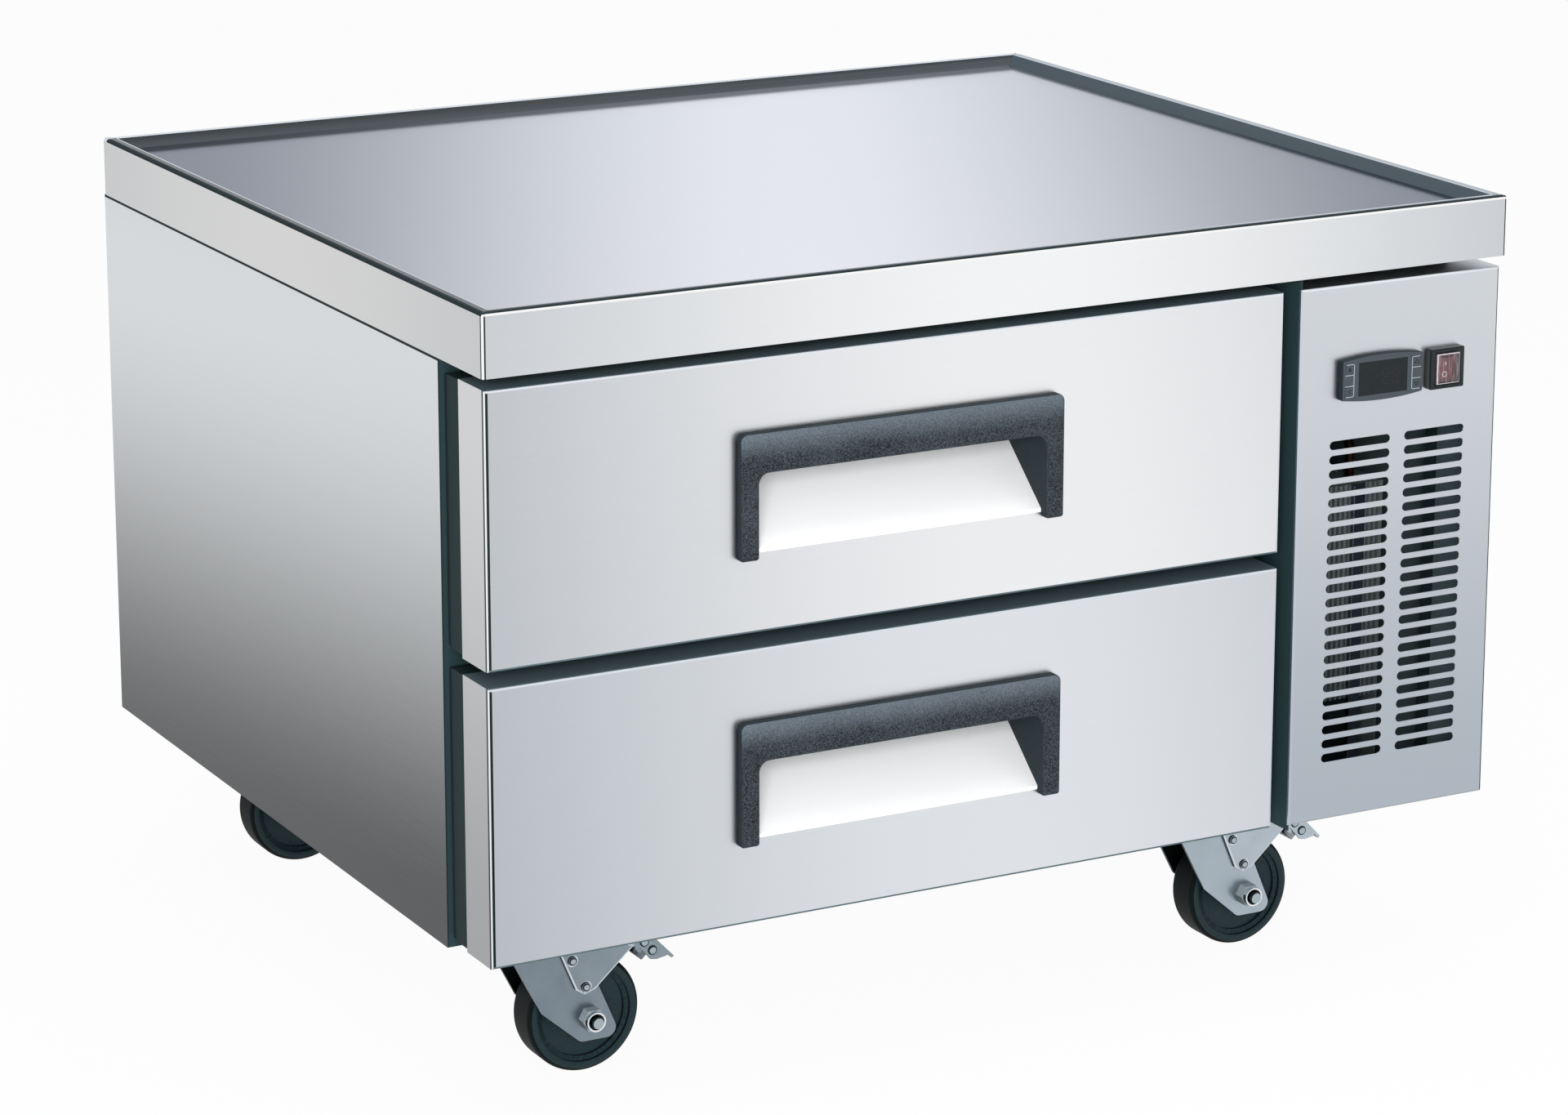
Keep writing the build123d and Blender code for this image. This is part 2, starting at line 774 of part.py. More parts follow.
# Rocker switch: housing, rocker and clear cap
opening_x = grown((switch_x, switch_x), switch_opening_width / 2)
opening_z = grown((control_z, control_z), switch_opening_height / 2)
pivot_y = face + rocker_setback
with BuildPart() as switch:
    bezel_x = grown((switch_x, switch_x), switch_width / 2)
    bezel_z = grown((control_z, control_z), switch_height / 2)
    block(bezel_x, (face - switch_proud, face), bezel_z)
    fillet(switch.edges().filter_by(Axis.Y), switch_edge)
    fillet(switch.faces().sort_by(Axis.Y)[0].edges(), switch_edge)
    block(opening_x, (face, face + switch_body_depth), opening_z)
    inside_x = grown(opening_x, -cap_wall)
    inside_z = grown(opening_z, -cap_wall)
    inside_y = (face - switch_proud - cut, face + switch_body_depth - switch_floor)
    block(inside_x, inside_y, inside_z, Mode.SUBTRACT)
    with Locations((switch_x, pivot_y, control_z)):
        Cylinder(rocker_pin_radius, inside_x[1] - inside_x[0] + cap_wall, rotation=(0, 90, 0))
save("switch_housing", switch.part)

with BuildPart() as rocker:
    half_rocker = rocker_height / 2
    front = pivot_y - rocker_depth
    with BuildSketch(side_plane(switch_x - rocker_width / 2)) as outline:
        with BuildLine():
            ThreePointArc(
                (front, control_z - half_rocker),
                (front + rocker_crown, control_z),
                (front, control_z + half_rocker),
            )
            Line((front, control_z + half_rocker), (pivot_y, control_z + half_rocker))
            Line((pivot_y, control_z + half_rocker), (pivot_y + rocker_setback, control_z))
            Line((pivot_y + rocker_setback, control_z), (pivot_y, control_z - half_rocker))
            Line((pivot_y, control_z - half_rocker), (front, control_z - half_rocker))
        make_face()
    extrude(amount=rocker_width)
    with Locations((switch_x, pivot_y, control_z)):
        Cylinder(
            rocker_pin_radius + running_gap, rocker_width + cut, rotation=(0, 90, 0), mode=Mode.SUBTRACT
        )
rocker_axis = Axis((switch_x, pivot_y, control_z), (1, 0, 0))
save("switch_rocker", rocker.part.rotate(rocker_axis, rocker_tilt))

with BuildPart() as cap:
    cap_front = face - switch_proud - cap_proud
    cap_x = grown(inside_x, -fit_gap)
    cap_z = grown(inside_z, -fit_gap)
    block(cap_x, (cap_front, face), cap_z)
    fillet(cap.faces().sort_by(Axis.Y)[0].edges(), cap_wall)
    hollow_y = (cap_front + cap_wall, face + cut)
    block(grown(cap_x, -cap_wall), hollow_y, grown(cap_z, -cap_wall), Mode.SUBTRACT)
save("switch_cap", cap.part)

# Condenser coil, with finned faces, end plates and return bends
coil_x = (machine_x + coil_inset, machine_x + coil_inset + coil_width)
coil_y = (front_y + coil_setback, front_y + coil_setback + coil_depth)
coil_z = (base_z + coil_rise, base_z + coil_rise + coil_height)
coil_middle = ((coil_x[0] + coil_x[1]) / 2, (coil_z[0] + coil_z[1]) / 2)
fin_count = int((coil_width - 2 * coil_plate) / coil_fin_pitch)
row_step = coil_height / (2 * coil_rows)
with BuildPart() as coil:
    block(coil_x, coil_y, coil_z)
    with BuildSketch(Plane.XY.offset(coil_z[0])):
        for y in coil_y:
            with Locations((coil_middle[0], y)):
                with GridLocations(coil_fin_pitch, 0, fin_count, 1):
                    Rectangle(coil_fin_slot, 2 * coil_fin_cut)
    extrude(amount=coil_height, mode=Mode.SUBTRACT)
    for row in range(coil_rows):
        z = coil_z[0] + (2 * row + 1) * row_step
        bend_y = (coil_y[0] + coil_y[1]) / 2
        axis = Axis((coil_x[1], bend_y, z), (0, 1, 0))
        with BuildSketch(side_plane(coil_x[1])) as bend_end:
            with Locations((bend_y, z + bend_radius)):
                Circle(tube_radius)
        revolve(bend_end.sketch, axis=axis, revolution_arc=180)
    foot_x = ((coil_x[0], coil_x[0] + coil_plate), (coil_x[1] - coil_plate, coil_x[1]))
    for span in foot_x:
        block(span, coil_y, (base_z, coil_z[0]))
save("condenser_coil", coil.part)

# Fan shroud with a spider that carries the motor
shroud_y = (coil_y[1], coil_y[1] + shroud_depth)
spider_y = (shroud_y[1], shroud_y[1] + spider_thickness)
fan_x, fan_z = coil_middle
with BuildPart() as shroud:
    block(coil_x, shroud_y, coil_z)
    duct_y = (shroud_y[0] - cut, shroud_y[1] - shroud_wall)
    block(grown(coil_x, -shroud_wall), duct_y, grown(coil_z, -shroud_wall), Mode.SUBTRACT)
    rod(fan_radius + fan_tip_gap, grown(shroud_y, cut), fan_x, fan_z, Mode.SUBTRACT)
    block(coil_x, spider_y, grown((fan_z, fan_z), spider_bar / 2))
    block(grown((fan_x, fan_x), spider_bar / 2), spider_y, coil_z)
    rod(motor_radius, spider_y, fan_x, fan_z)
    rod(motor_shaft_radius + fit_gap, grown(spider_y, cut), fan_x, fan_z, Mode.SUBTRACT)
save("fan_shroud", shroud.part)


def fan_motor(x, z, back_y, length, shaft_end):
    """Can motor whose shaft points to the front."""
    with BuildPart() as motor:
        rod(motor_radius, (back_y - length, back_y), x, z)
        fillet(motor.faces().sort_by(Axis.Y)[-1].edges(), motor_edge)
        rod(motor_shaft_radius, (shaft_end, back_y - length), x, z)
    return motor.part


def fan_blades(x, z, front, radius):
    """Hub and pitched blades on the motor shaft."""
    hub_y = (front, front + fan_hub_length)
    middle = (hub_y[0] + hub_y[1]) / 2
    with BuildPart() as fan:
        rod(fan_hub_radius, hub_y, x, z)
        blade_length = radius - blade_root_radius
        for turn in range(fan_blade_count):
            angle = turn * 360 / fan_blade_count
            place = Location((x, middle, z)) * Location((0, 0, 0), (0, angle, 0))
            blade_place = Location((0, 0, blade_root_radius + blade_length / 2), (0, 0, fan_blade_pitch))
            with Locations(place * blade_place):
                Box(fan_blade_width, fan_blade_thickness, blade_length)
        rod(radius, hub_y, x, z, Mode.INTERSECT)
        rod(motor_shaft_radius + running_gap, grown(hub_y, cut), x, z, Mode.SUBTRACT)
    return fan.part


blades_front = shroud_y[0] + fan_setback
shaft_front = blades_front + fit_gap
motor_back = spider_y[1] + motor_length
save("condenser_fan_motor", fan_motor(fan_x, fan_z, motor_back, motor_length, shaft_front))
save("condenser_fan_blades", fan_blades(fan_x, fan_z, blades_front, fan_radius))

# Compressor on rubber mounts, halfway between the fan motor and the drip tray
tray_y = (back_y - tray_back_gap - tray_length, back_y - tray_back_gap)
compressor_place = ((machine_x + right_x - sheet) / 2, (motor_back + tray_y[0]) / 2)
plate_z = (base_z + mount_height, base_z + mount_height + compressor_plate)
shell_z = (plate_z[1], plate_z[1] + compressor_height)
with BuildPart() as compressor:
    post(compressor_radius, shell_z, *compressor_place)
    fillet(compressor.faces().sort_by(Axis.Z)[-1].edges(), compressor_dome)
    plate_reach = compressor_foot_reach + mount_radius
    plate_x = grown((compressor_place[0], compressor_place[0]), plate_reach)
    plate_y = grown((compressor_place[1], compressor_place[1]), plate_reach)
    block(plate_x, plate_y, plate_z)
    relay_y = (compressor_place[1] - compressor_radius - relay_proud, compressor_place[1])
    relay_x = grown((compressor_place[0], compressor_place[0]), relay_width / 2)
    block(relay_x, relay_y, (shell_z[0] + relay_rise, shell_z[0] + relay_rise + relay_height))
    for side in (-1, 1):
        x = compressor_place[0] + side * stub_reach
        post(stub_radius, (shell_z[1] - compressor_dome, shell_z[1] + stub_height), x, compressor_place[1])
save("compressor", compressor.part)

with BuildPart() as mounts:
    with Locations((compressor_place[0], compressor_place[1], base_z + mount_height / 2)):
        with GridLocations(2 * compressor_foot_reach, 2 * compressor_foot_reach, 2, 2):
            Cylinder(mount_radius, mount_height)
            Cylinder(mount_bore, mount_height, mode=Mode.SUBTRACT)
save("compressor_mounts", mounts.part)


def pipe(points, radii, radius):
    """A round tube along straight runs joined by tangent arcs."""
    with BuildPart() as tube:
        with BuildLine() as route:
            FilletPolyline(*points, radius=radii)
        start = route.wires()[0]
        with BuildSketch(Plane(origin=start @ 0, z_dir=start % 0)):
            Circle(radius)
        sweep(path=start)
    return tube.part


# Filter drier, and the copper lines between compressor, condenser and cavity
line_z = shell_z[1] + stub_height
high_z = coil_z[1] + line_step
bend_y = (coil_y[0] + coil_y[1]) / 2
drier_x = coil_x[0] + line_inset
drier_y = compressor_place[1] + drier_reach
drier_z = (high_z - drier_length, high_z)
discharge_x = compressor_place[0] + stub_reach
suction_x = compressor_place[0] - stub_reach
suction_y = drier_y + line_step
with BuildPart() as drier:
    post(drier_radius, drier_z, drier_x, drier_y)
    fillet(drier.faces().filter_by(Axis.Z).edges(), drier_edge)
routes = {
    "discharge": [
        (discharge_x, compressor_place[1], line_z),
        (discharge_x, compressor_place[1], high_z),
        (discharge_x, bend_y, high_z),
        (discharge_x, bend_y, coil_z[1]),
    ],
    "liquid": [
        (drier_x, bend_y, coil_z[1]),
        (drier_x, bend_y, high_z + line_step),
        (drier_x, drier_y, high_z + line_step),
        (drier_x, drier_y, high_z),
    ],
    "capillary": [
        (drier_x, drier_y, drier_z[0]),
        (drier_x, drier_y, drier_z[0] - line_step),
        (machine_x, drier_y, drier_z[0] - line_step),
    ],
    "suction": [
        (suction_x, compressor_place[1], line_z),
        (suction_x, compressor_place[1], high_z),
        (suction_x, suction_y, high_z),
        (machine_x, suction_y, high_z),
    ],
}
lines = [pipe(route, line_bend, tube_radius) for route in routes.values()]
save("refrigerant_lines", drier.part, *lines)

# Drip tray that evaporates the defrost water
with BuildPart() as drip_tray:
    tray_x = grown((vent_middle, vent_middle), tray_width / 2)
    inside_z = (base_z + sheet, base_z + tray_height + cut)
    block(tray_x, tray_y, (base_z, base_z + tray_height))
    block(grown(tray_x, -sheet), grown(tray_y, -sheet), inside_z, Mode.SUBTRACT)
save("drip_tray", drip_tray.part)

# Electrical box on the compartment wall
with BuildPart() as electrical_box:
    box_y = (back_y - box_back_gap - box_length, back_y - box_back_gap)
    box_z = (fascia_z - box_drop - box_height, fascia_z - box_drop)
    block((machine_x, machine_x + box_depth), box_y, box_z)
    fillet(electrical_box.faces().sort_by(Axis.X)[-1].edges(), corner_radius)
save("electrical_box", electrical_box.part)

# Cable gland in the base, where the supply lead enters
with BuildPart() as gland:
    post(gland_radius, (chassis_z - gland_length, base_z + gland_flange), *gland_place)
    post(gland_flange_radius, (chassis_z - gland_flange, chassis_z), *gland_place)
    post(gland_flange_radius, (base_z, base_z + gland_flange), *gland_place)
    gland_z = grown((chassis_z - gland_length, base_z + gland_flange), cut)
    post(gland_bore, gland_z, *gland_place, Mode.SUBTRACT)
save("cable_gland", gland.part)

# Evaporator cover: a casing closed by a plate with a guarded fan opening and an air intake
guard_x = cover_x[1] - evaporator_fan_inset
guard_z = (cover_z[0] + cover_z[1]) / 2
evaporator_x = (cover_x[0] + evaporator_coil_inset, guard_x - evaporator_fan_radius - evaporator_coil_gap)
evaporator_y = (cavity_y[1] - evaporator_coil_depth, cavity_y[1])
evaporator_z = grown(cover_z, -evaporator_coil_margin)
evaporator_middle_x = (evaporator_x[0] + evaporator_x[1]) / 2
intake_length = evaporator_x[1] - evaporator_x[0] - 2 * intake_margin
with BuildPart() as casing:
    block(cover_x, (cover_y[0] + sheet, cover_y[1]), cover_z)
    fillet(casing.edges().filter_by(Axis.Y), corner_radius)
    block(grown(cover_x, -sheet), grown(cover_y, cut), grown(cover_z, -sheet), Mode.SUBTRACT)
with BuildPart() as grille:
    block(cover_x, (cover_y[0], cover_y[0] + sheet), cover_z)
    fillet(grille.edges().filter_by(Axis.Y), corner_radius)
    with BuildSketch(front_plane(cover_y[0])) as holes:
        with Locations((guard_x, guard_z)):
            Circle(evaporator_fan_radius + fan_tip_gap)
            for ring in range(guard_rings):
                ring_radius = evaporator_fan_radius * (ring + 1) / (guard_rings + 1)
                Circle(ring_radius + guard_bar / 2, mode=Mode.SUBTRACT)
                Circle(ring_radius - guard_bar / 2)
            with PolarLocations(0, guard_bars):
                Rectangle(2 * (evaporator_fan_radius + fan_tip_gap + cut), guard_bar, mode=Mode.SUBTRACT)
        with Locations((evaporator_middle_x, guard_z)):
            with GridLocations(0, intake_pitch, 1, intake_count):
                SlotOverall(intake_length, intake_height)
    extrude(amount=sheet + cut, both=True, mode=Mode.SUBTRACT)
save("evaporator_cover", casing.part, grille.part)

with BuildPart() as evaporator_coil:
    block(evaporator_x, evaporator_y, evaporator_z)
    evaporator_fins = int((evaporator_x[1] - evaporator_x[0]) / evaporator_fin_pitch)
    with BuildSketch(Plane.XY.offset(evaporator_z[0])):
        with Locations((evaporator_middle_x, evaporator_y[0])):
            with GridLocations(evaporator_fin_pitch, 0, evaporator_fins, 1):
                Rectangle(evaporator_fin_slot, 2 * coil_fin_cut)
    extrude(amount=evaporator_z[1] - evaporator_z[0], mode=Mode.SUBTRACT)
save("evaporator_coil", evaporator_coil.part)

evaporator_blades_front = cover_y[0] + sheet + fan_tip_gap
evaporator_shaft = evaporator_blades_front + fit_gap
evaporator_motor_length = cavity_y[1] - evaporator_blades_front - fan_hub_length - fan_tip_gap
evaporator_motor = fan_motor(guard_x, guard_z, cavity_y[1], evaporator_motor_length, evaporator_shaft)
evaporator_blades = fan_blades(guard_x, guard_z, evaporator_blades_front, evaporator_fan_radius)
save("evaporator_fan_motor", evaporator_motor)
save("evaporator_fan_blades", evaporator_blades)


# Casters
axle_z = wheel_radius
crown_z = axle_z + crown_height
plate_bottom = chassis_z - caster_plate
leg_inner = hub_length / 2 + slide_gap
leg_outer = leg_inner + leg_thickness
cheek_outer = leg_outer - fit_gap
cheek_inner = cheek_outer - pedal_cheek
pin_shares = (0.934, 0.835)
rivet_shares = ((-0.413, 0.715), (-0.11, 0.383))
knee_shares = (-1.013, 0.177)
toe_shares = ((-0.13, -0.163), (0.395, -0.163))
shoe_shares = (1.21, 0.65)
tread_shares = ((1.95, 0.532), (1.476, 0.799))
side_plate_shares = (
    (-0.74, 0.88),
    (-0.334, 0.362),
    (-0.129, 0.291),
    (0.113, 0.34),
    (1.137, 0.833),
    (0.787, 0.946),
)
pedal_shares = (
    (0.776, 0.823),
    (0.868, 0.752),
    (1.124, 0.723),
    (1.197, 0.696),
    (1.426, 0.55),
    (1.574, 0.538),
    (1.81, 0.559),
    (1.821, 0.597),
    (1.476, 0.799),
    (1.263, 0.879),
    (0.947, 0.929),
    (0.789, 0.887),
)


def caster_point(place, shares):
    """A point beside the wheel: shares of the trail back from the axle and of the crown height up."""
    return (place[0] + caster_trail * (1 + shares[0]), axle_z + crown_height * shares[1])


def caster_plates():
    """Fixed top plates, each with its kingpin."""
    plates = []
    for place in caster_places.values():
        with BuildPart() as plate:
            with BuildSketch(Plane.XY.offset(plate_bottom)):
                with Locations(place):
                    RectangleRounded(caster_plate_length, caster_plate_width, caster_plate_corner)
                    with GridLocations(caster_hole_x, caster_hole_y, 2, 2):
                        Circle(bolt_radius + fit_gap, mode=Mode.SUBTRACT)
            extrude(amount=caster_plate)
            head_top = crown_z - crown - fit_gap
            post(kingpin_radius, (head_top, plate_bottom), *place)
            post(kingpin_head_radius, (head_top - kingpin_head, head_top), *place)
        plates.append(plate.part)
    return plates


def caster_fork(place):
    """Crown with its ball race and two raked legs."""
    x, y = place
    with BuildPart() as fork:
        with BuildSketch(front_plane(y - leg_outer)) as leg:
            with Locations((x, crown_z - leg_shoulder / 2)):
                Rectangle(2 * crown_radius, leg_shoulder)
            with Locations(*[caster_point(place, share) for share in toe_shares]):
                Circle(leg_toe_radius)
            with Locations(caster_point(place, knee_shares)):
                Circle(leg_knee_radius)
            make_hull()
        for shift in (0, leg_outer + leg_inner):
            extrude(leg.sketch.moved(Location((0, shift, 0))), amount=-leg_thickness)
        crown_y = (y - leg_outer, y + leg_outer)
        block((x - crown_radius, x + crown_radius), crown_y, (crown_z - crown, crown_z))
        post(race_radius, (crown_z, crown_z + race_height), x, y)
        bore_z = (crown_z - cut, crown_z + race_height + cut)
        post(kingpin_radius + running_gap, bore_z, x, y, Mode.SUBTRACT)
        rod(axle_radius + running_gap, grown(crown_y, cut), x + caster_trail, axle_z, Mode.SUBTRACT)
    return fork.part


def caster_axle(place):
    """Axle bolt with its head behind and its lock nut in front."""
    x, y = place[0] + caster_trail, place[1]
    with BuildPart() as axle:
        rod(axle_radius, (y - axle_end, y + axle_head_end), x, axle_z)
        for start, end in ((-leg_outer - nut_thickness, -leg_outer), (leg_outer, axle_head_end)):
            with BuildSketch(front_plane(y + end)):
                with Locations((x, axle_z)):
                    RegularPolygon(nut_radius, 6)
            extrude(amount=end - start)
    return axle.part


def caster_wheel(place):
    """Solid wheel with a stepped, dished side and a long hub."""
    x, y = place[0] + caster_trail, place[1]
    half = wheel_width / 2
    step = half - wheel_rim_step
    dish = half - wheel_recess
    hub = hub_length / 2
    with BuildPart() as wheel:
        with BuildSketch(Plane.YZ.offset(x)) as section:
            with BuildLine():
                Polyline(
                    (y - half, axle_z + wheel_radius),
                    (y - half, axle_z + wheel_rim_radius),
                    (y - step, axle_z + wheel_rim_radius),
                    (y - step, axle_z + wheel_web_radius),
                    (y - dish, axle_z + wheel_web_radius),
                    (y - dish, axle_z + hub_radius),
                    (y - hub, axle_z + hub_radius),
                    (y - hub, axle_z + axle_radius + running_gap),
                    (y + hub, axle_z + axle_radius + running_gap),
                    (y + hub, axle_z + hub_radius),
                    (y + dish, axle_z + hub_radius),
                    (y + dish, axle_z + wheel_web_radius),
                    (y + step, axle_z + wheel_web_radius),
                    (y + step, axle_z + wheel_rim_radius),
                    (y + half, axle_z + wheel_rim_radius),
                    (y + half, axle_z + wheel_radius),
                    close=True,
                )
            make_face()
            fillet(section.vertices().group_by(Axis.Y)[-1], wheel_edge)
        revolve(axis=Axis((x, y, axle_z), (0, 1, 0)))
    return wheel.part


def brake_side_plates(place):
    """Plates riveted to the legs, which carry the pedal's pin."""
    y = place[1]
    pieces = []
    pin = caster_point(place, pin_shares)
    for low in (y - leg_outer - brake_plate, y + leg_outer):
        outside = low if low < y else low + brake_plate
        with BuildPart() as side_plate:
            with BuildSketch(front_plane(low + brake_plate)):
                with BuildLine():
                    Polyline(*[caster_point(place, share) for share in side_plate_shares], close=True)
                make_face()
                with Locations(pin):
                    Circle(brake_pin_radius + running_gap, mode=Mode.SUBTRACT)
            extrude(amount=brake_plate)
            for share in rivet_shares:
                rivet = caster_point(place, share)
                rod(rivet_radius, grown((outside, outside), rivet_head), *rivet)
        pieces.append(side_plate.part)
    with BuildPart() as pivot:
        rod(brake_pin_radius, grown((y, y), leg_outer + brake_plate + rivet_head), *pin)
    pieces.append(pivot.part)
    return pieces


def brake_pedal(place):
    """Two cheeks joined by the tread that a shoe presses."""
    y = place[1]
    pin = caster_point(place, pin_shares)
    with BuildPart() as pedal:
        with BuildSketch(front_plane(y - cheek_outer)) as cheek:
            with BuildLine():
                Polyline(*[caster_point(place, share) for share in pedal_shares], close=True)
            make_face()
            with Locations(pin):
                Circle(brake_pin_radius + running_gap, mode=Mode.SUBTRACT)
        for shift in (0, cheek_outer + cheek_inner):
            extrude(cheek.sketch.moved(Location((0, shift, 0))), amount=-pedal_cheek)
        low, high = [caster_point(place, share) for share in tread_shares]
        length = ((high[0] - low[0]) ** 2 + (high[1] - low[1]) ** 2) ** 0.5
        slope = degrees(atan2(high[1] - low[1], low[0] - high[0]))
        centre = ((low[0] + high[0]) / 2, y, (low[1] + high[1]) / 2)
        with Locations(Location(centre, (0, slope, 0))):
            Box(length, 2 * cheek_outer, pedal_tread)
        shoe_x, shoe_z = caster_point(place, shoe_shares)
        with Locations(Location((shoe_x, y, shoe_z), (0, slope, 0))):
            Box(shoe_length, 2 * cheek_inner, shoe_thickness)
    return pedal.part


save("caster_top_plates", *caster_plates())
for corner, place in caster_places.items():
    braked = corner.startswith("front")
    extras = brake_side_plates(place) if braked else []
    save(f"caster_fork_{corner}", caster_fork(place), caster_axle(place), *extras)
    save(f"caster_wheel_{corner}", caster_wheel(place))
    if braked:
        save(f"brake_pedal_{corner}", brake_pedal(place))

# Screws of the shell: caster bolts under the base and pan heads in the back panel
with BuildPart() as chassis_screws:
    for place in caster_places.values():
        with BuildSketch(Plane.XY.offset(plate_bottom)):
            with Locations(place):
                with GridLocations(caster_hole_x, caster_hole_y, 2, 2):
                    Circle(bolt_radius)
        extrude(amount=base_z - plate_bottom)
        with BuildSketch(Plane.XY.offset(plate_bottom)):
            with Locations(place):
                with GridLocations(caster_hole_x, caster_hole_y, 2, 2):
                    RegularPolygon(bolt_head_radius, 6)
        extrude(amount=-bolt_head)
    for x, z in screw_places:
        rod(screw_radius, (back_skin_y - screw_length, back_skin_y), x, z)
        rod(screw_head_radius, (back_skin_y, back_skin_y + screw_head), x, z)
save("chassis_screws", chassis_screws.part)
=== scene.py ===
import json
from math import atan2, copysign, pi, radians

import bpy
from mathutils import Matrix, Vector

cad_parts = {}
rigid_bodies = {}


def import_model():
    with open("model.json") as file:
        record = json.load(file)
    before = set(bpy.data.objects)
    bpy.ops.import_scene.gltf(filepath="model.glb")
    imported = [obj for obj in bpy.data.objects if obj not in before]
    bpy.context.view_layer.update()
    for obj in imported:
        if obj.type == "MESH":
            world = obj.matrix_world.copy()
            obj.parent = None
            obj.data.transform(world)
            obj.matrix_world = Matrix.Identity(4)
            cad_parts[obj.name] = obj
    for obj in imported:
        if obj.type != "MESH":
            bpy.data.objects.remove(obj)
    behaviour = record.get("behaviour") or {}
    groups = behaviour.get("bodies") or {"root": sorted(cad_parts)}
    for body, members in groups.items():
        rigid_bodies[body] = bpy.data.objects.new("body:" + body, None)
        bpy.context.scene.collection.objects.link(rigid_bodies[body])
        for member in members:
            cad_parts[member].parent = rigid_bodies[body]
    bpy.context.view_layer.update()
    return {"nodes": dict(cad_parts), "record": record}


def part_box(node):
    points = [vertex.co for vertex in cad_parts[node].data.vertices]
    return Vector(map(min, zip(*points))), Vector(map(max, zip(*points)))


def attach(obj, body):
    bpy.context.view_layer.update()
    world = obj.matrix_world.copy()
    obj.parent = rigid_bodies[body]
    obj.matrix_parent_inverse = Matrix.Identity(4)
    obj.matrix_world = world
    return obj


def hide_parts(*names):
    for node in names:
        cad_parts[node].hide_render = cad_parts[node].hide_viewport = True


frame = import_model()
nodes = frame["nodes"]
body_of = {
    node: body
    for body, members in frame["record"]["behaviour"]["bodies"].items()
    for node in members
}
MM = 0.001

SIDEWAYS = (1, 0, 0)
BACKWARDS = (0, 1, 0)
UPWARDS = (0, 0, 1)
FACING_FRONT = (pi / 2, 0, 0)

# A face looks straight along an axis when its normal goes further than this along it
STRAIGHT = 0.98
SAME_POINT = 0.01 * MM
SHARP_EDGE = radians(30)


# Working with Blender's own operators


def deselect():
    """Leave object mode with nothing selected."""
    if bpy.context.object and bpy.context.object.mode != "OBJECT":
        bpy.ops.object.mode_set(mode="OBJECT")
    bpy.ops.object.select_all(action="DESELECT")


def pick(piece):
    """Select one object alone."""
    deselect()
    piece.select_set(True)
    bpy.context.view_layer.objects.active = piece


def settle(piece):
    """Bring a piece's place into its mesh, with its object at the origin."""
    pick(piece)
    bpy.ops.object.transform_apply(location=True, rotation=True, scale=True)


def recalculated(piece):
    """Turn all faces outwards after merging doubles."""
    pick(piece)
    bpy.ops.object.mode_set(mode="EDIT")
    bpy.ops.mesh.select_all(action="SELECT")
    bpy.ops.mesh.remove_doubles(threshold=SAME_POINT)
    bpy.ops.mesh.normals_make_consistent(inside=False)
    bpy.ops.object.mode_set(mode="OBJECT")


def with_bevel(piece, width, segments=2):
    """Round the piece's sharp edges."""
    pick(piece)
    bevel = piece.modifiers.new("rounded edges", "BEVEL")
    bevel.width = width
    bevel.segments = segments
    bevel.limit_method = "ANGLE"
    bevel.angle_limit = SHARP_EDGE
    bpy.ops.object.modifier_apply(modifier=bevel.name)


def shade(piece, angle=32):
    """Smooth shading that keeps real edges and keeps flat sheets flat beside their folds."""
    pick(piece)
    bpy.ops.object.shade_smooth_by_angle(angle=radians(angle))
    weighted = piece.modifiers.new("flat beside folds", "WEIGHTED_NORMAL")
    weighted.keep_sharp = True
    weighted.weight = 100
    bpy.ops.object.modifier_apply(modifier=weighted.name)


def score(piece, place, normal):
    """Cut a line of edges right across a mesh, so that a strip can take its own finish."""
    pick(piece)
    bpy.ops.object.mode_set(mode="EDIT")
    bpy.ops.mesh.select_all(action="SELECT")
    bpy.ops.mesh.bisect(plane_co=place, plane_no=normal)
    bpy.ops.object.mode_set(mode="OBJECT")


def paint(piece, material):
    """Give a piece one material."""
    piece.data.materials.clear()
    piece.data.materials.append(material)


def paint_regions(piece, finishes):
    """Give each face the first finish whose test its normal and its middle pass."""
    piece.data.materials.clear()
    for material, _ in finishes:
        piece.data.materials.append(material)
    for face in piece.data.polygons:
        for index, (_, fits) in enumerate(finishes):
            if fits(face.normal, face.center):
                face.material_index = index
                break


def finish_node(node, material):
    """Give a CAD node a material."""
    for slot in nodes[node].material_slots:
        slot.material = material


def merged_copy(node):
    """A merged copy of a CAD node's mesh as a new object."""
    pick(nodes[node])
    bpy.ops.object.duplicate()
    piece = bpy.context.object
    bpy.ops.object.parent_clear(type="CLEAR_KEEP_TRANSFORM")
    for key in list(piece.keys()):
        del piece[key]
    bpy.ops.object.mode_set(mode="EDIT")
    bpy.ops.mesh.select_all(action="SELECT")
    bpy.ops.mesh.remove_doubles(threshold=SAME_POINT)
    bpy.ops.object.mode_set(mode="OBJECT")
    return piece


def dress(node, name, material, regions=None, cuts=()):
    """Replace a CAD node by its smooth-shaded copy, in one material or in one for each region."""
    piece = merged_copy(node)
    piece.name = name
    for place, normal in cuts:
        score(piece, place, normal)
    shade(piece)
    if regions:
        paint_regions(piece, regions)
    else:
        paint(piece, material)
    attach(piece, body_of[node])
    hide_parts(node)
    return piece


def new_piece(piece, name, body, material):
    """Name a piece, give it its material if one is named, and let it ride on its body."""
    settle(piece)
    piece.name = name
    if material:
        paint(piece, material)
    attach(piece, body)
    return piece


def joined(pieces, name, body, material):
    """Several small pieces as one."""
    deselect()
    for piece in pieces:
        piece.select_set(True)
    bpy.context.view_layer.objects.active = pieces[0]
    bpy.ops.object.join()
    return new_piece(bpy.context.object, name, body, material)


# Node helpers for materials


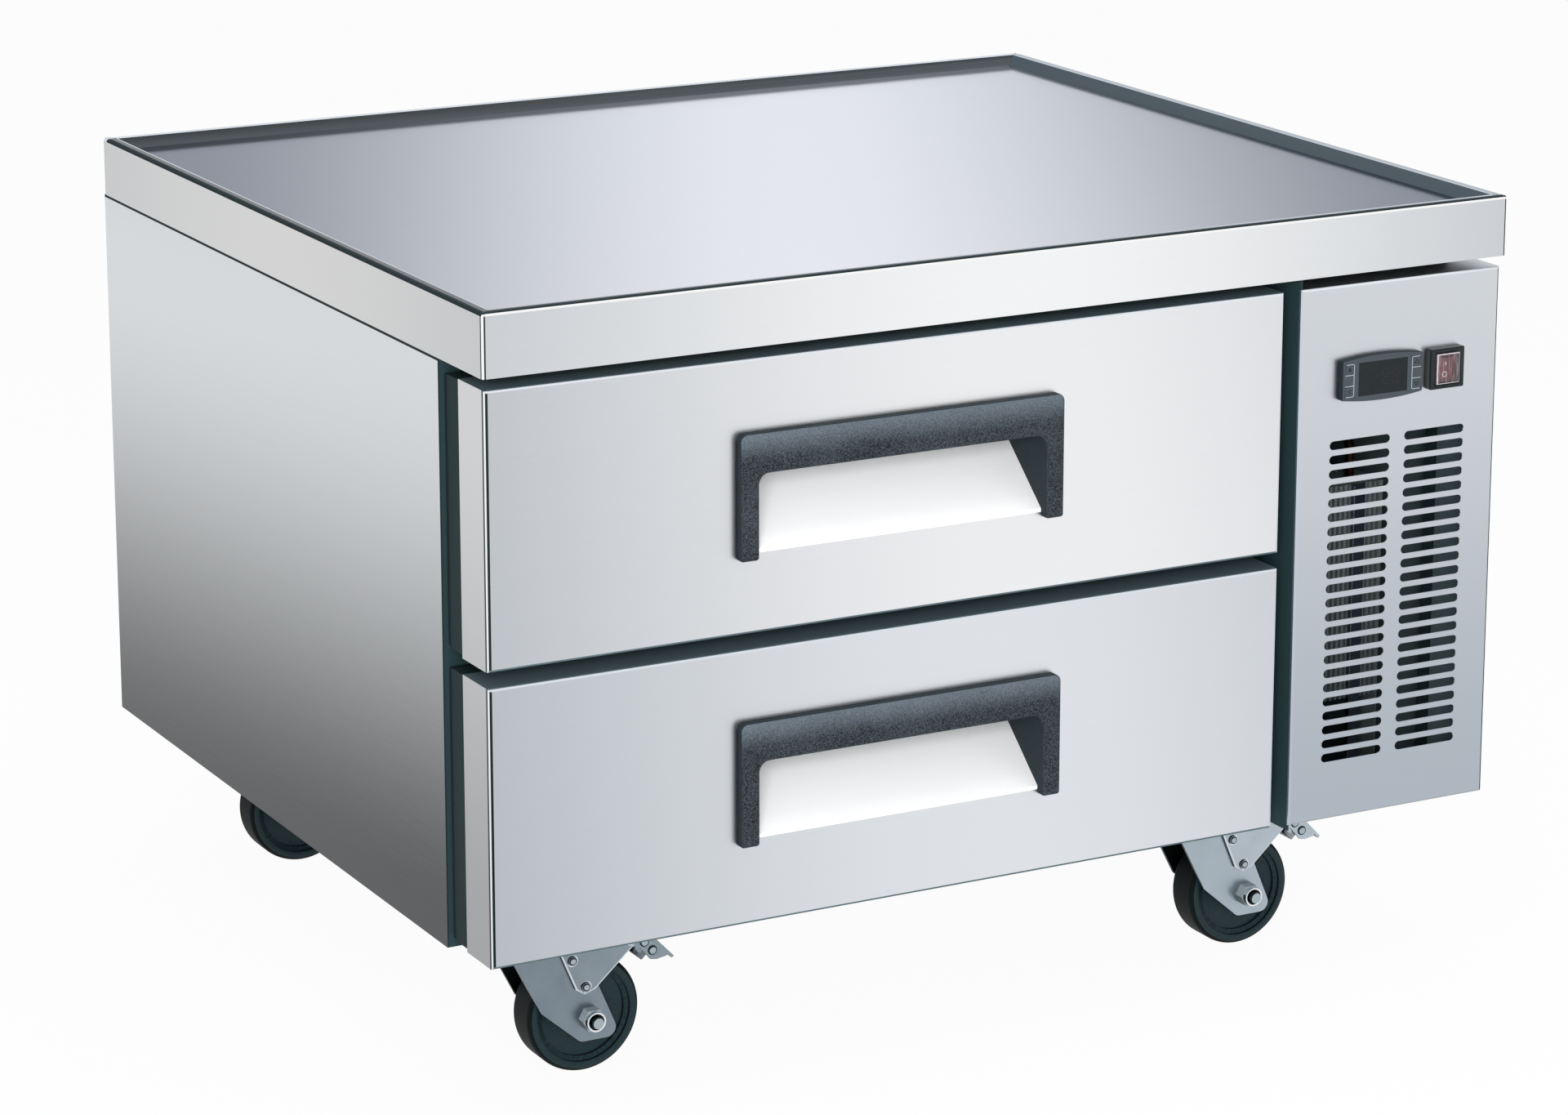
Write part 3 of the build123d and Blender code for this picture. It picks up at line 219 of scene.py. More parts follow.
def add_node(tree, kind, inputs=None, **settings):
    """A node with its settings, values and links."""
    node = tree.nodes.new(kind)
    for name, value in settings.items():
        setattr(node, name, value)
    for socket, value in (inputs or {}).items():
        if isinstance(value, bpy.types.NodeSocket):
            tree.links.new(value, node.inputs[socket])
        else:
            node.inputs[socket].default_value = value
    return node


def new_group(name, inputs, outputs):
    """An empty shader node group with named sockets; returns the group and its two ends."""
    group = bpy.data.node_groups.new(name, "ShaderNodeTree")
    kinds = {"F": "NodeSocketFloat", "V": "NodeSocketVector", "C": "NodeSocketColor"}
    for label, kind in inputs:
        group.interface.new_socket(label, in_out="INPUT", socket_type=kinds[kind])
    for label, kind in outputs:
        group.interface.new_socket(label, in_out="OUTPUT", socket_type=kinds[kind])
    return group, group.nodes.new("NodeGroupInput"), group.nodes.new("NodeGroupOutput")


def mix_colour(tree, factor, low, high):
    """A colour between two others."""
    node = add_node(tree, "ShaderNodeMix", data_type="RGBA")
    for index, value in ((0, factor), (6, low), (7, high)):
        if isinstance(value, bpy.types.NodeSocket):
            tree.links.new(value, node.inputs[index])
        else:
            node.inputs[index].default_value = value
    return node.outputs[2]


def maths(tree, operation, first, second, clamp=False):
    """One sum of two values."""
    node = add_node(
        tree, "ShaderNodeMath", {0: first, 1: second}, operation=operation, use_clamp=clamp
    )
    return node.outputs[0]


def noise(tree, place, scale, detail=2.0):
    """A soft random pattern, from 0 to 1."""
    node = add_node(
        tree, "ShaderNodeTexNoise", {"Vector": place, "Scale": scale, "Detail": detail}
    )
    return node.outputs[0]


def seen_directly(tree):
    """1 for what the camera sees, also in metal and through clear pieces, and otherwise 0."""
    path = add_node(tree, "ShaderNodeLightPath")
    straight = maths(tree, "MAXIMUM", path.outputs["Is Camera Ray"], path.outputs["Is Glossy Ray"])
    return maths(tree, "MAXIMUM", straight, path.outputs["Is Transmission Ray"])


def painted_sheen_group():
    """Painted sheen on a sheet: full along one line, less to both sides of it."""
    group, start, end = new_group(
        "light across a sheet",
        [("Vector", "V"), ("Across", "V"), ("Centre", "F"), ("Reach", "F")],
        [("Tone", "F")],
    )
    along = add_node(
        group, "ShaderNodeVectorMath",
        {0: start.outputs["Vector"], 1: start.outputs["Across"]},
        operation="DOT_PRODUCT",
    )
    offset = maths(group, "SUBTRACT", along.outputs["Value"], start.outputs["Centre"])
    distance = maths(group, "ABSOLUTE", offset, 0.0)
    tone = add_node(
        group, "ShaderNodeMapRange",
        {
            "Value": distance, "From Min": 0.0, "From Max": start.outputs["Reach"],
            "To Min": 1.0, "To Max": 0.0,
        },
        interpolation_type="SMOOTHSTEP",
    )
    group.links.new(tone.outputs[0], end.inputs["Tone"])
    return group


def brushed_group():
    """Fine straight scratches over the painted sheen of a sheet."""
    group, start, end = new_group(
        "brushed sheet",
        [
            ("Vector", "V"), ("Tone", "F"), ("Dark", "C"), ("Light", "C"),
            ("Grain", "F"), ("Roughness", "F"),
        ],
        [("Color", "C"), ("Roughness", "F"), ("Normal", "V")],
    )
    fine = noise(group, start.outputs["Vector"], 1.0, 3.0)
    centred = maths(group, "SUBTRACT", fine, 0.5)
    swing = maths(group, "MULTIPLY", centred, start.outputs["Grain"])
    tone = maths(group, "ADD", swing, start.outputs["Tone"], clamp=True)
    colour = mix_colour(group, tone, start.outputs["Dark"], start.outputs["Light"])
    rough = maths(group, "ADD", swing, start.outputs["Roughness"])
    bump = add_node(
        group, "ShaderNodeBump", {"Strength": 0.05, "Distance": 0.1 * MM, "Height": fine}
    )
    group.links.new(colour, end.inputs["Color"])
    group.links.new(rough, end.inputs["Roughness"])
    group.links.new(bump.outputs[0], end.inputs["Normal"])
    return group


def moulded_group():
    """Fine pitted grain of a moulded, painted or galvanised surface."""
    group, start, end = new_group(
        "moulded grain",
        [
            ("Vector", "V"), ("Low", "C"), ("High", "C"), ("Lift", "F"),
            ("Roughness", "F"), ("Spread", "F"), ("Depth", "F"),
        ],
        [("Color", "C"), ("Roughness", "F"), ("Normal", "V")],
    )
    fine = noise(group, start.outputs["Vector"], 1.0, 4.0)
    broad = maths(group, "SUBTRACT", noise(group, start.outputs["Vector"], 0.02), 0.5)
    speck = add_node(
        group, "ShaderNodeMapRange",
        {"Value": fine, "From Min": 0.35, "From Max": 0.75, "To Max": 0.6},
    )
    patch = maths(group, "MULTIPLY", broad, start.outputs["Spread"])
    lifted = maths(group, "ADD", speck.outputs[0], start.outputs["Lift"])
    mask = maths(group, "ADD", lifted, patch, clamp=True)
    colour = mix_colour(group, mask, start.outputs["Low"], start.outputs["High"])
    rough = maths(group, "ADD", patch, start.outputs["Roughness"])
    bump = add_node(
        group, "ShaderNodeBump",
        {"Strength": start.outputs["Depth"], "Distance": 0.4 * MM, "Height": fine},
    )
    group.links.new(colour, end.inputs["Color"])
    group.links.new(rough, end.inputs["Roughness"])
    group.links.new(bump.outputs[0], end.inputs["Normal"])
    return group


PAINTED_SHEEN = painted_sheen_group()
BRUSHED = brushed_group()
MOULDED = moulded_group()


def blank_material(name):
    """A material, its tree and its shader."""
    material = bpy.data.materials.new(name)
    material.use_nodes = True
    tree = material.node_tree
    return material, tree, tree.nodes["Principled BSDF"]


def painted_sheen(tree, place, across, centre, reach):
    """The painted sheen of a sheet: lightest at `centre` along `across`, and darkest `reach` away.
    """
    group = add_node(tree, "ShaderNodeGroup", node_tree=PAINTED_SHEEN)
    for label, value in (("Across", across), ("Centre", centre), ("Reach", reach)):
        group.inputs[label].default_value = value
    tree.links.new(place, group.inputs["Vector"])
    return group.outputs["Tone"]


def apply_group(tree, shader, group_tree, place, values, scale):
    """Put one of the surface groups on a shader, with its pattern scaled to the piece."""
    mapping = add_node(tree, "ShaderNodeMapping", {"Vector": place, "Scale": scale})
    group = add_node(tree, "ShaderNodeGroup", node_tree=group_tree)
    for label, value in values.items():
        if isinstance(value, bpy.types.NodeSocket):
            tree.links.new(value, group.inputs[label])
        else:
            group.inputs[label].default_value = value
    tree.links.new(mapping.outputs[0], group.inputs["Vector"])
    tree.links.new(group.outputs["Color"], shader.inputs["Base Color"])
    tree.links.new(group.outputs["Roughness"], shader.inputs["Roughness"])
    tree.links.new(group.outputs["Normal"], shader.inputs["Normal"])


# Scratches per metre along X, Y and Z
ALONG_X = (20, 1800, 1800)
ALONG_Y = (1800, 20, 1800)
UPRIGHT = (1800, 1800, 20)

# How far a painted sheen band lifts a moulded surface towards its lighter colour
SHEEN_LIFT = 0.58


def rgb(text):
    """A colour written as in a paint chart, as Blender's linear values."""
    channels = []
    for start in (0, 2, 4):
        value = int(text[start : start + 2], 16) / 255
        channels.append(value / 12.92 if value <= 0.04045 else ((value + 0.055) / 1.055) ** 2.4)
    return (*channels, 1.0)


def brushed(
    name, dark, light, brush=ALONG_X, across=UPWARDS, centre=0.6, reach=0.47,
    grain=0.1, rough=0.34, metallic=1.0, tint="ffffff",
):
    """Brushed stainless, scratched along `brush`, with a painted sheen band, lightest along one
    line.
    """
    material, tree, shader = blank_material(name)
    place = add_node(tree, "ShaderNodeTexCoord").outputs["Object"]
    tone = painted_sheen(tree, place, across, centre, reach)
    values = {
        "Tone": tone, "Dark": rgb(dark), "Light": rgb(light), "Grain": grain, "Roughness": rough
    }
    apply_group(tree, shader, BRUSHED, place, values, brush)
    shader.inputs["Metallic"].default_value = metallic
    shader.inputs["Specular Tint"].default_value = rgb(tint)
    return material


def moulded(
    name, low, high, rough=0.5, spread=0.1, depth=0.1, cells=1600, metallic=0.0, gloss=0.5,
    band=None,
):
    """A moulded, painted or plated surface with a fine grain.

    Cells is the grain's count per metre, and a band, as across, centre and reach, paints a sheen on
    a part.
    """
    material, tree, shader = blank_material(name)
    place = add_node(tree, "ShaderNodeTexCoord").outputs["Object"]
    lift = 0.0
    if band:
        lift = maths(tree, "MULTIPLY", painted_sheen(tree, place, *band), SHEEN_LIFT)
    values = {
        "Low": rgb(low), "High": rgb(high), "Lift": lift,
        "Roughness": rough, "Spread": spread, "Depth": depth,
    }
    apply_group(tree, shader, MOULDED, place, values, (cells, cells, cells))
    shader.inputs["Metallic"].default_value = metallic
    shader.inputs["Specular IOR Level"].default_value = gloss
    return material


# Places on the cabinet that finishes and regions are set out from
top_low, top_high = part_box("worktop")
panel_low, panel_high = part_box("louvre_panel")
case_low, case_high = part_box("controller_housing")
TRAY_SINK = 7.5 * MM
tray_z = top_high.z - TRAY_SINK

# Stainless sheets, each with a painted sheen band
# Painted reflection on the tray: lightest along a slanting line through its middle, dark blue-grey
# towards the front left and back right
tray_reflection = brushed(
    "brushed tray", "1b2f46", "f8f7f6", across=(1, -0.5, 0), centre=0.012, reach=0.63,
    rough=0.12, tint="e7ebf3",
)
# Painted dark reflection on the slopes, lightest just above the tray
slope_reflection = brushed("slope with painted dark reflection", "2a3337", "525a62", centre=tray_z, reach=8 * MM)
# Painted reflection along the rim, lightest near the right
rim_reflection = brushed("rim of the tray", "3e4751", "a4aeba", across=SIDEWAYS, centre=0.46, reach=0.92)
# Painted sheen on the fascia: lightest at the middle of the front and of each side
fascia_sheen = brushed("front fascia", "c2c7cc", "f6f7f8", across=SIDEWAYS, centre=0, reach=0.66)
fascia_side_sheen = brushed("side fascia", "c4c6c8", "d6d6d6", ALONG_Y, BACKWARDS, 0, 0.6)
# Painted sheen on the side skins: lightest near the top, darker towards the bottom
side_skin_sheen = brushed("brushed side skin", "3f4244", "d9dcdf", ALONG_Y, (0, 0.08, 1), 0.57, 0.445)
# Painted sheen across each drawer face
front_sheen = {
    "upper": brushed("upper drawer face", "afb5bc", "f0f1f3", ALONG_X, (1, 0, 0.15), 0.086, 0.72),
    "lower": brushed("lower drawer face", "a3abb3", "e1e4e8", ALONG_X, (1, 0, 0.1), 0.01, 0.74),
}
# Painted sheen band, lightest near the top of the cabinet
return_steel = brushed("drawer side return", "a0a2a4", "d4d5d6", UPRIGHT)
panel_steel = brushed("brushed service panel", "b1b9c2", "d4d8dd")
plain_steel = brushed("plain stainless", "a9adb3", "cfd3d8", rough=0.4)
# The scoop's bright reflection painted as a white, non-metal finish
scoop_reflection = brushed("white scoop, painted reflection", "f8f9f9", "fefefe", rough=0.5, metallic=0.0)
# Painted highlights and painted dark reflection lines for folds and edges; the white one also
# serves the rocker's printed marks
white_highlight_and_mark = brushed("bright fold", "e6e9ee", "fbfbfa", rough=0.25)
pale_highlight = brushed("pale fold", "b7c0cb", "ced6e0", rough=0.3)
dark_fold_reflection = brushed("dark fold", "1f2b2e", "2e393c", rough=0.3)
soft_highlight = brushed("soft bright fold", "d3dae2", "e9eef4", rough=0.3)
fin_aluminium = brushed(
    "coil fins", "5c686b", "8c9698", UPRIGHT, grain=0.4, rough=0.6, metallic=0.0
)

# Zinc, chrome and rivets
# Painted sheen band across the zinc, lightest near the right
ZINC_SHEEN = (SIDEWAYS, 0.46, 0.9)
zinc = moulded(
    "bright zinc", "64717b", "bac6cf", 0.32, 0.3, 0.05, 2400, metallic=1.0, band=ZINC_SHEEN
)
zinc_pale = moulded(
    "zinc plate", "6c7983", "c2cdd5", 0.32, 0.3, 0.05, 2400, metallic=1.0, band=ZINC_SHEEN
)
# Painted shade, painted edge highlights and painted lit nut facets for the casters' faces
zinc_dark = moulded("shaded zinc", "2a363a", "3b484d", 0.4, 0.2, 0.05, 2400, metallic=1.0)
zinc_edge_highlight = moulded("zinc edge", "cbd4da", "e2e8ec", 0.3, 0.1, 0.05, 2400, metallic=1.0)
nut_lit_facet = moulded("plated nut", "909a9f", "b9c3c8", 0.4, 0.3, 0.03, 900, gloss=0.2)
nut_dark = moulded("plated nut in shade", "4d585c", "69757a", 0.4, 0.3, 0.03, 900, gloss=0.2)
chrome = moulded("chromed nut", "ccd5da", "e6ecef", 0.15, 0.1, 0.02, 900, metallic=1.0)
rivet_steel = moulded("bright rivet", "9fabb3", "c2ccd2", 0.25, 0.2, 0.03, 2000, metallic=1.0)

# Plastics, rubber and coatings
# Dark joint line under the worktop, and painted dark edges on the rim and on the side skins' front
# returns
dark_joint_and_painted_edge = moulded("dark edge line", "1d292c", "2b373a", 0.6, gloss=0.05)
slope_shade = moulded("shaded slope", "47525a", "525d65", 0.6, gloss=0.05)
# Front frame painted dark as the shade in the gaps round the drawers
frame_shade = moulded("frame in painted shade", "283a3e", "344649", 0.6, gloss=0.05)
fold_shade = moulded("shaded return", "56666b", "637479", 0.6, gloss=0.05)
grip_shade = moulded("shaded grain", "222c31", "3a444a", 0.6, 0.2, 0.4, 1300, gloss=0.1)
dark_wall = moulded("dark coated wall", "2c4043", "374d50", 0.6, gloss=0.1)
liner_black = moulded("moulded black liner", "1f2c30", "29383c", 0.6, depth=0.2, gloss=0.08)
seal_black = moulded("black seal", "1b2427", "263134", 0.7, depth=0.2, gloss=0.1)
wheel_black = moulded("hard black wheel", "11252a", "1c3136", 0.45, 0.1, 0.1, 700, gloss=0.25)
# The wheel's tread painted darker as shade
tread_shade = moulded("wheel tread, painted shade", "050b0c", "0d1618", 0.6, 0.1, 0.1, 700, gloss=0.1)
controller_slate = moulded("controller slate", "3b4348", "4f585f", 0.45, depth=0.06, gloss=0.3)
slate_shade = moulded("shaded slate", "1c272b", "2a363b", 0.5, gloss=0.1)
window_gloss = moulded("smoked window", "10191b", "1a2527", 0.12, 0.05, 0.0, 300, gloss=0.25)
switch_gloss = moulded("gloss black bezel", "0d1619", "182428", 0.16, 0.05, 0.02, 900, gloss=0.3)
rocker_red = moulded("red rocker", "4d1724", "742a3b", 0.22, 0.2, 0.02, 500, gloss=0.2)
satin_black = moulded("satin black enamel", "1a272b", "2a3a3f", 0.4, cells=500)
fan_black = moulded("fan plastic", "26292b", "32363a", 0.55)
copper = moulded("drawn copper", "3b2920", "573b2d", 0.5, 0.2, 0.05, 400, metallic=1.0)
box_grey = moulded("grey box", "8c9092", "a3a7a9")
cover_white = moulded("white cover", "cfd2d3", "dfe2e3", 0.45)
foam = moulded("insulation foam", "cfc39c", "e4dab8", 0.9, depth=0.6, cells=500)
line_pale = moulded("printed line", "98a5ad", "bcc7cd", 0.5, cells=3000)
mark_dark = moulded("printed mark", "1d2529", "2b3439", 0.5, cells=3000, gloss=0.1)
seam_dark = moulded("weld line", "39434a", "5a646c", 0.4, cells=3000, metallic=0.8)
digit_brown = moulded("unlit segment", "241f1f", "322829", 0.35, cells=3000, gloss=0.2)
baffle_metal = moulded("coil end plate", "364350", "4d5a68", 0.35, 0.4, 0.05, 900, metallic=0.6)

# Clear cap with pale upright streaks, painted reflections
clear_cap, cap_tree, cap_shader = blank_material("clear splash cap")
cap_place = add_node(cap_tree, "ShaderNodeTexCoord").outputs["Object"]
cap_mapping = add_node(
    cap_tree, "ShaderNodeMapping", {"Vector": cap_place, "Scale": (900, 900, 60)}
)
cap_alpha = add_node(
    cap_tree, "ShaderNodeMapRange",
    {
        "Value": noise(cap_tree, cap_mapping.outputs[0], 1.0),
        "From Min": 0.52, "From Max": 0.78, "To Min": 0.04, "To Max": 0.45,
    },
)
cap_tree.links.new(cap_alpha.outputs[0], cap_shader.inputs["Alpha"])
cap_shader.inputs["Base Color"].default_value = rgb("d9ced2")
cap_shader.inputs["Roughness"].default_value = 0.08
cap_shader.inputs["Specular IOR Level"].default_value = 0.15
# Painted highlight on the cap's edges
cap_edge_highlight = moulded("cap edge", "b9adb2", "e4dcdf", 0.15, 0.1, 0.0, 900)

# CAD pieces that need only their finish
plain_finishes = [
    (plain_steel, ("back_panel", "base_pan", "inner_liner", "drip_tray", "slide_cabinet_members")),
    (plain_steel, ("slide_middle_upper", "slide_middle_lower")),
    (plain_steel, ("pan_carrier_upper", "pan_carrier_lower")),
    (frame_shade, ("front_frame",)),
    (foam, ("insulation",)),
    (dark_wall, ("machine_partition",)),
    (seal_black, ("drawer_gasket_upper", "drawer_gasket_lower", "compressor_mounts")),
    (liner_black, ("drawer_liner_upper", "drawer_liner_lower")),
    (fin_aluminium, ("condenser_coil", "evaporator_coil")),
    (satin_black, ("fan_shroud",)),
    (box_grey, ("electrical_box",)),
    (rivet_steel, ("chassis_screws",)),
]
for material, members in plain_finishes:
    for node in members:
        finish_node(node, material)

# CAD pieces with curved faces: smooth copies of the same shape
dress("evaporator_cover", "evaporator_cover_shell", cover_white)
dress("evaporator_fan_motor", "evaporator_motor_can", satin_black)
dress("condenser_fan_motor", "condenser_motor_can", satin_black)
dress("evaporator_fan_blades", "evaporator_fan", fan_black)
dress("condenser_fan_blades", "condenser_fan", fan_black)
dress("compressor", "compressor_shell", satin_black)
dress("refrigerant_lines", "copper_lines", copper)
dress("cable_gland", "lead_gland", liner_black)
dress("caster_top_plates", "caster_plates", zinc)
dress("controller_housing", "controller_case", controller_slate, regions=[
    (slate_shade, lambda n, c: n.y > -0.6 or n.x < -0.6),
    (controller_slate, lambda n, c: True),
])
dress("controller_window", "controller_glass", window_gloss)
dress("switch_housing", "switch_bezel", switch_gloss)
dress("switch_rocker", "rocker_key", rocker_red)
for key in ("key_defrost", "key_set", "key_up", "key_down"):
    dress(key, f"{key}_cap", controller_slate)

# Splash cap: clear faces, with painted highlights on its edges
dress("switch_cap", "splash_cap", clear_cap, regions=[
    (cap_edge_highlight, lambda n, c: 0.1 < abs(n.y) < STRAIGHT),
    (clear_cap, lambda n, c: True),
])

# Worktop: tray, slopes, rim, folds and fascia, with painted reflections, highlights and shade
# Widths of the rim, of its painted highlight line and of its painted dark bands
RIM = 10 * MM
RIM_LINE = 1.2 * MM
RIM_SHADE = 4.2 * MM
FRONT_SHADE = 6 * MM
SKIN = 0.5 * MM
FOLD_ZONE = 2 * MM


def inset_of(place):
    """How far a place on the worktop is from its nearest outer side."""
    return min(
        place.x - top_low.x, top_high.x - place.x, place.y - top_low.y, top_high.y - place.y
    )


def on_rim(normal, place):
    """A face of the flat rim."""
    return normal.z > STRAIGHT and place.z > top_high.z - SKIN


def top_fold(normal):
    """A face of the fold along the top of a front."""
    return 0.03 < normal.z < 0.8 and normal.y < -0.1


def upright_fold(normal):
    """A face of a fold between two upright faces."""
    return abs(normal.z) < 0.1 and abs(normal.x) > 0.06 and abs(normal.y) > 0.06


def middle_of_fold(normal):
    """A face near the middle of an upright fold, where a highlight is painted."""
    return abs(normal.z) < 0.1 and abs(normal.x) > 0.42 and abs(normal.y) > 0.42


rim_cuts = []
for inset in (RIM_SHADE, RIM - RIM_LINE):
    rim_cuts += [
        ((top_low.x + inset, 0, 0), SIDEWAYS), ((top_high.x - inset, 0, 0), SIDEWAYS),
        ((0, top_high.y - inset, 0), BACKWARDS), ((0, top_low.y + inset, 0), BACKWARDS),
    ]
rim_cuts.append(((0, top_low.y + FRONT_SHADE, 0), BACKWARDS))
dress("worktop", "worktop_sheet", None, cuts=rim_cuts, regions=[
    (tray_reflection, lambda n, c: n.z > STRAIGHT and c.z < tray_z + SKIN and inset_of(c) > RIM),
    (slope_shade, lambda n, c: 0.5 < n.z < STRAIGHT and n.x < -0.2 and inset_of(c) > RIM),
    (slope_reflection, lambda n, c: 0.5 < n.z < STRAIGHT and inset_of(c) > RIM),
    (pale_highlight, lambda n, c: on_rim(n, c) and inset_of(c) > RIM - RIM_LINE),
    (pale_highlight, lambda n, c: on_rim(n, c) and c.y > top_high.y - RIM),
    (dark_joint_and_painted_edge, lambda n, c: on_rim(n, c) and c.y < top_low.y + FRONT_SHADE),
    (dark_joint_and_painted_edge, lambda n, c: on_rim(n, c) and c.x < top_low.x + RIM_SHADE),
    (rim_reflection, on_rim),
    (white_highlight_and_mark, lambda n, c: 0.03 < n.z < 0.62 and n.y < -0.5),
    (pale_highlight, lambda n, c: n.z > 0.03 and inset_of(c) < RIM and c.y > top_high.y - RIM),
    (dark_joint_and_painted_edge, lambda n, c: n.z > 0.03 and inset_of(c) < RIM),
    (white_highlight_and_mark, lambda n, c: middle_of_fold(n) and inset_of(c) < FOLD_ZONE),
    (dark_fold_reflection, lambda n, c: upright_fold(n) and inset_of(c) < FOLD_ZONE),
    (fascia_sheen, lambda n, c: n.y < -STRAIGHT and c.y < top_low.y + SKIN),
    (fascia_side_sheen, lambda n, c: abs(n.z) < 0.1 and inset_of(c) < SKIN),
    (plain_steel, lambda n, c: True),
])

# Side skins, with the dark joint under the worktop, a painted sheen, and painted shade on their
# front returns and inner faces
JOINT = 2.2 * MM
# A side's outer face lies further out than this
SIDE_FROM = 460 * MM
joint_z = top_low.z - JOINT
for side, sign in (("left", -1), ("right", 1)):
    dress(
        f"side_panel_{side}", f"side_skin_{side}", None,
        cuts=[((0, 0, joint_z), UPWARDS)],
        regions=[
            (dark_joint_and_painted_edge, lambda n, c: c.z > joint_z),
            (side_skin_sheen, lambda n, c: n.x * sign > STRAIGHT and c.x * sign > SIDE_FROM),
            (dark_joint_and_painted_edge, lambda n, c: n.y < -0.1),
            (fold_shade, lambda n, c: n.x * sign < -STRAIGHT),
            (plain_steel, lambda n, c: True),
        ],
    )

# Drawer faces: folded pans with a painted highlight between two painted dark reflection lines along
# each upright fold, and painted shade on their top and bottom
FOLD = 3.4 * MM


def on_left_return(normal, place, low):
    """A face of a folded front's left side."""
    return normal.x < -STRAIGHT and place.x < low.x + SKIN


for level in ("upper", "lower"):
    low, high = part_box(f"drawer_front_{level}")
    dress(
        f"drawer_front_{level}", f"drawer_face_{level}", None,
        cuts=[((low.x + FOLD, 0, 0), SIDEWAYS), ((0, low.y + FOLD, 0), BACKWARDS)],
        regions=[
            (fold_shade, lambda n, c: n.z > 0.8 and c.z > high.z - SKIN),
            (soft_highlight, lambda n, c: top_fold(n)),
            (white_highlight_and_mark, lambda n, c: middle_of_fold(n) and n.y < 0),
            (dark_fold_reflection, lambda n, c: upright_fold(n) and n.y < 0 and c.x < low.x + FOLD),
            (pale_highlight, lambda n, c: upright_fold(n) and n.y < 0),
            (fold_shade, lambda n, c: n.z < -0.03 and n.y < -0.1),
            (dark_fold_reflection, lambda n, c: n.y < -STRAIGHT and c.x < low.x + FOLD),
            (dark_fold_reflection, lambda n, c: on_left_return(n, c, low) and c.y < low.y + FOLD),
            (front_sheen[level], lambda n, c: n.y < -STRAIGHT and c.y < low.y + SKIN),
            (return_steel, lambda n, c: on_left_return(n, c, low)),
            (plain_steel, lambda n, c: True),
        ],
    )

# Service panel, with painted highlights on the lips round its slots and on its folds, and painted
# shade on its returns


def between_folds(place):
    """A place on the service panel clear of its top and bottom folds."""
    return panel_low.z + FOLD < place.z < panel_high.z - FOLD


dress("louvre_panel", "louvre_panel_sheet", None, regions=[
    (soft_highlight, lambda n, c: top_fold(n) and c.z > panel_high.z - FOLD),
    (pale_highlight, lambda n, c: upright_fold(n) and n.y < 0 and c.x < panel_low.x + FOLD),
    (zinc_dark, lambda n, c: upright_fold(n) and n.y < 0 and c.x > panel_high.x - FOLD),
    (panel_steel, lambda n, c: n.y < -STRAIGHT and c.y < panel_low.y + SKIN),
    (fold_shade, lambda n, c: on_left_return(n, c, panel_low)),
    (fold_shade, lambda n, c: n.x < -STRAIGHT and c.x > panel_high.x - FOLD),
    (white_highlight_and_mark, lambda n, c: c.y < panel_low.y + FOLD_ZONE and between_folds(c)),
    (plain_steel, lambda n, c: True),
])

# Pulls with a painted sheen towards the top and painted shade on their other faces, and the scoops
# below them, painted white for their reflection
PULL_SHADE = 24 * MM
for level in ("upper", "lower"):
    pull_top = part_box(f"handle_{level}")[1].z
    # Painted sheen on the pull's front, lightest at its top; its other faces in painted shade
    grip = moulded(
        f"grained pull {level}", "05090b", "667079", 0.5, 0.2, 0.5, 1300, gloss=0.1,
        band=(UPWARDS, pull_top, PULL_SHADE),
    )
    dress(f"handle_{level}", f"pull_{level}", None, regions=[
        (grip, lambda n, c: n.y < -0.5),
        (grip_shade, lambda n, c: True),
    ])
    dress(f"handle_scoop_{level}", f"pull_scoop_{level}", scoop_reflection)


# Casters: sizes that tell a fork's parts apart, and places measured from the wheel's middle
FRAME_HEIGHT = 90 * MM
AXLE_LENGTH = 70 * MM
BRAKE_WIDTH = 50 * MM
CROWN_UP = 60 * MM
HEX_OUT = 24 * MM
BOLT_END_OUT = 34.5 * MM
THREAD_OUT = 41 * MM
THREAD_SHARE = 0.74
HEX_SIDE = radians(60)
HEX_TURN = 0.5
RIVET_HEAD = 1.6 * MM
COLLAR_OUT = 36.2 * MM
COLLAR_RADIUS = 8.2 * MM
COLLAR_LENGTH = 4.6 * MM
COLLAR_WALL = 1.7 * MM
COLLAR_DEPTH = 2.4 * MM
COLLAR_EDGE = 0.5 * MM
COLLAR_RING_FROM = 6 * MM
COLLAR_SIDE_FROM = 8 * MM
COLLAR_FACE = 0.6 * MM
PLATE_OUT = 29.1 * MM
PLATE_BORDER = 1.3 * MM
PLATE_RAISED = 0.4 * MM
ROUND_SIDES = 40

# Rivets of a pedal and of its brake plate: places to the right and up, then radius and rise
PEDAL_RIVETS = ((48.9 * MM, 54.1 * MM), (56 * MM, 46.2 * MM))
PEDAL_RIVET = (3 * MM, 1.4 * MM)
PLATE_RIVETS = ((-15.7 * MM, 50.4 * MM), (-4.2 * MM, 27 * MM))
PLATE_RIVET = (2.4 * MM, 0.9 * MM)

# The ring of a rivet, painted as shade, as shares of its radius and rise
RING_SIZE = 1.35
RING_RISE = 0.3


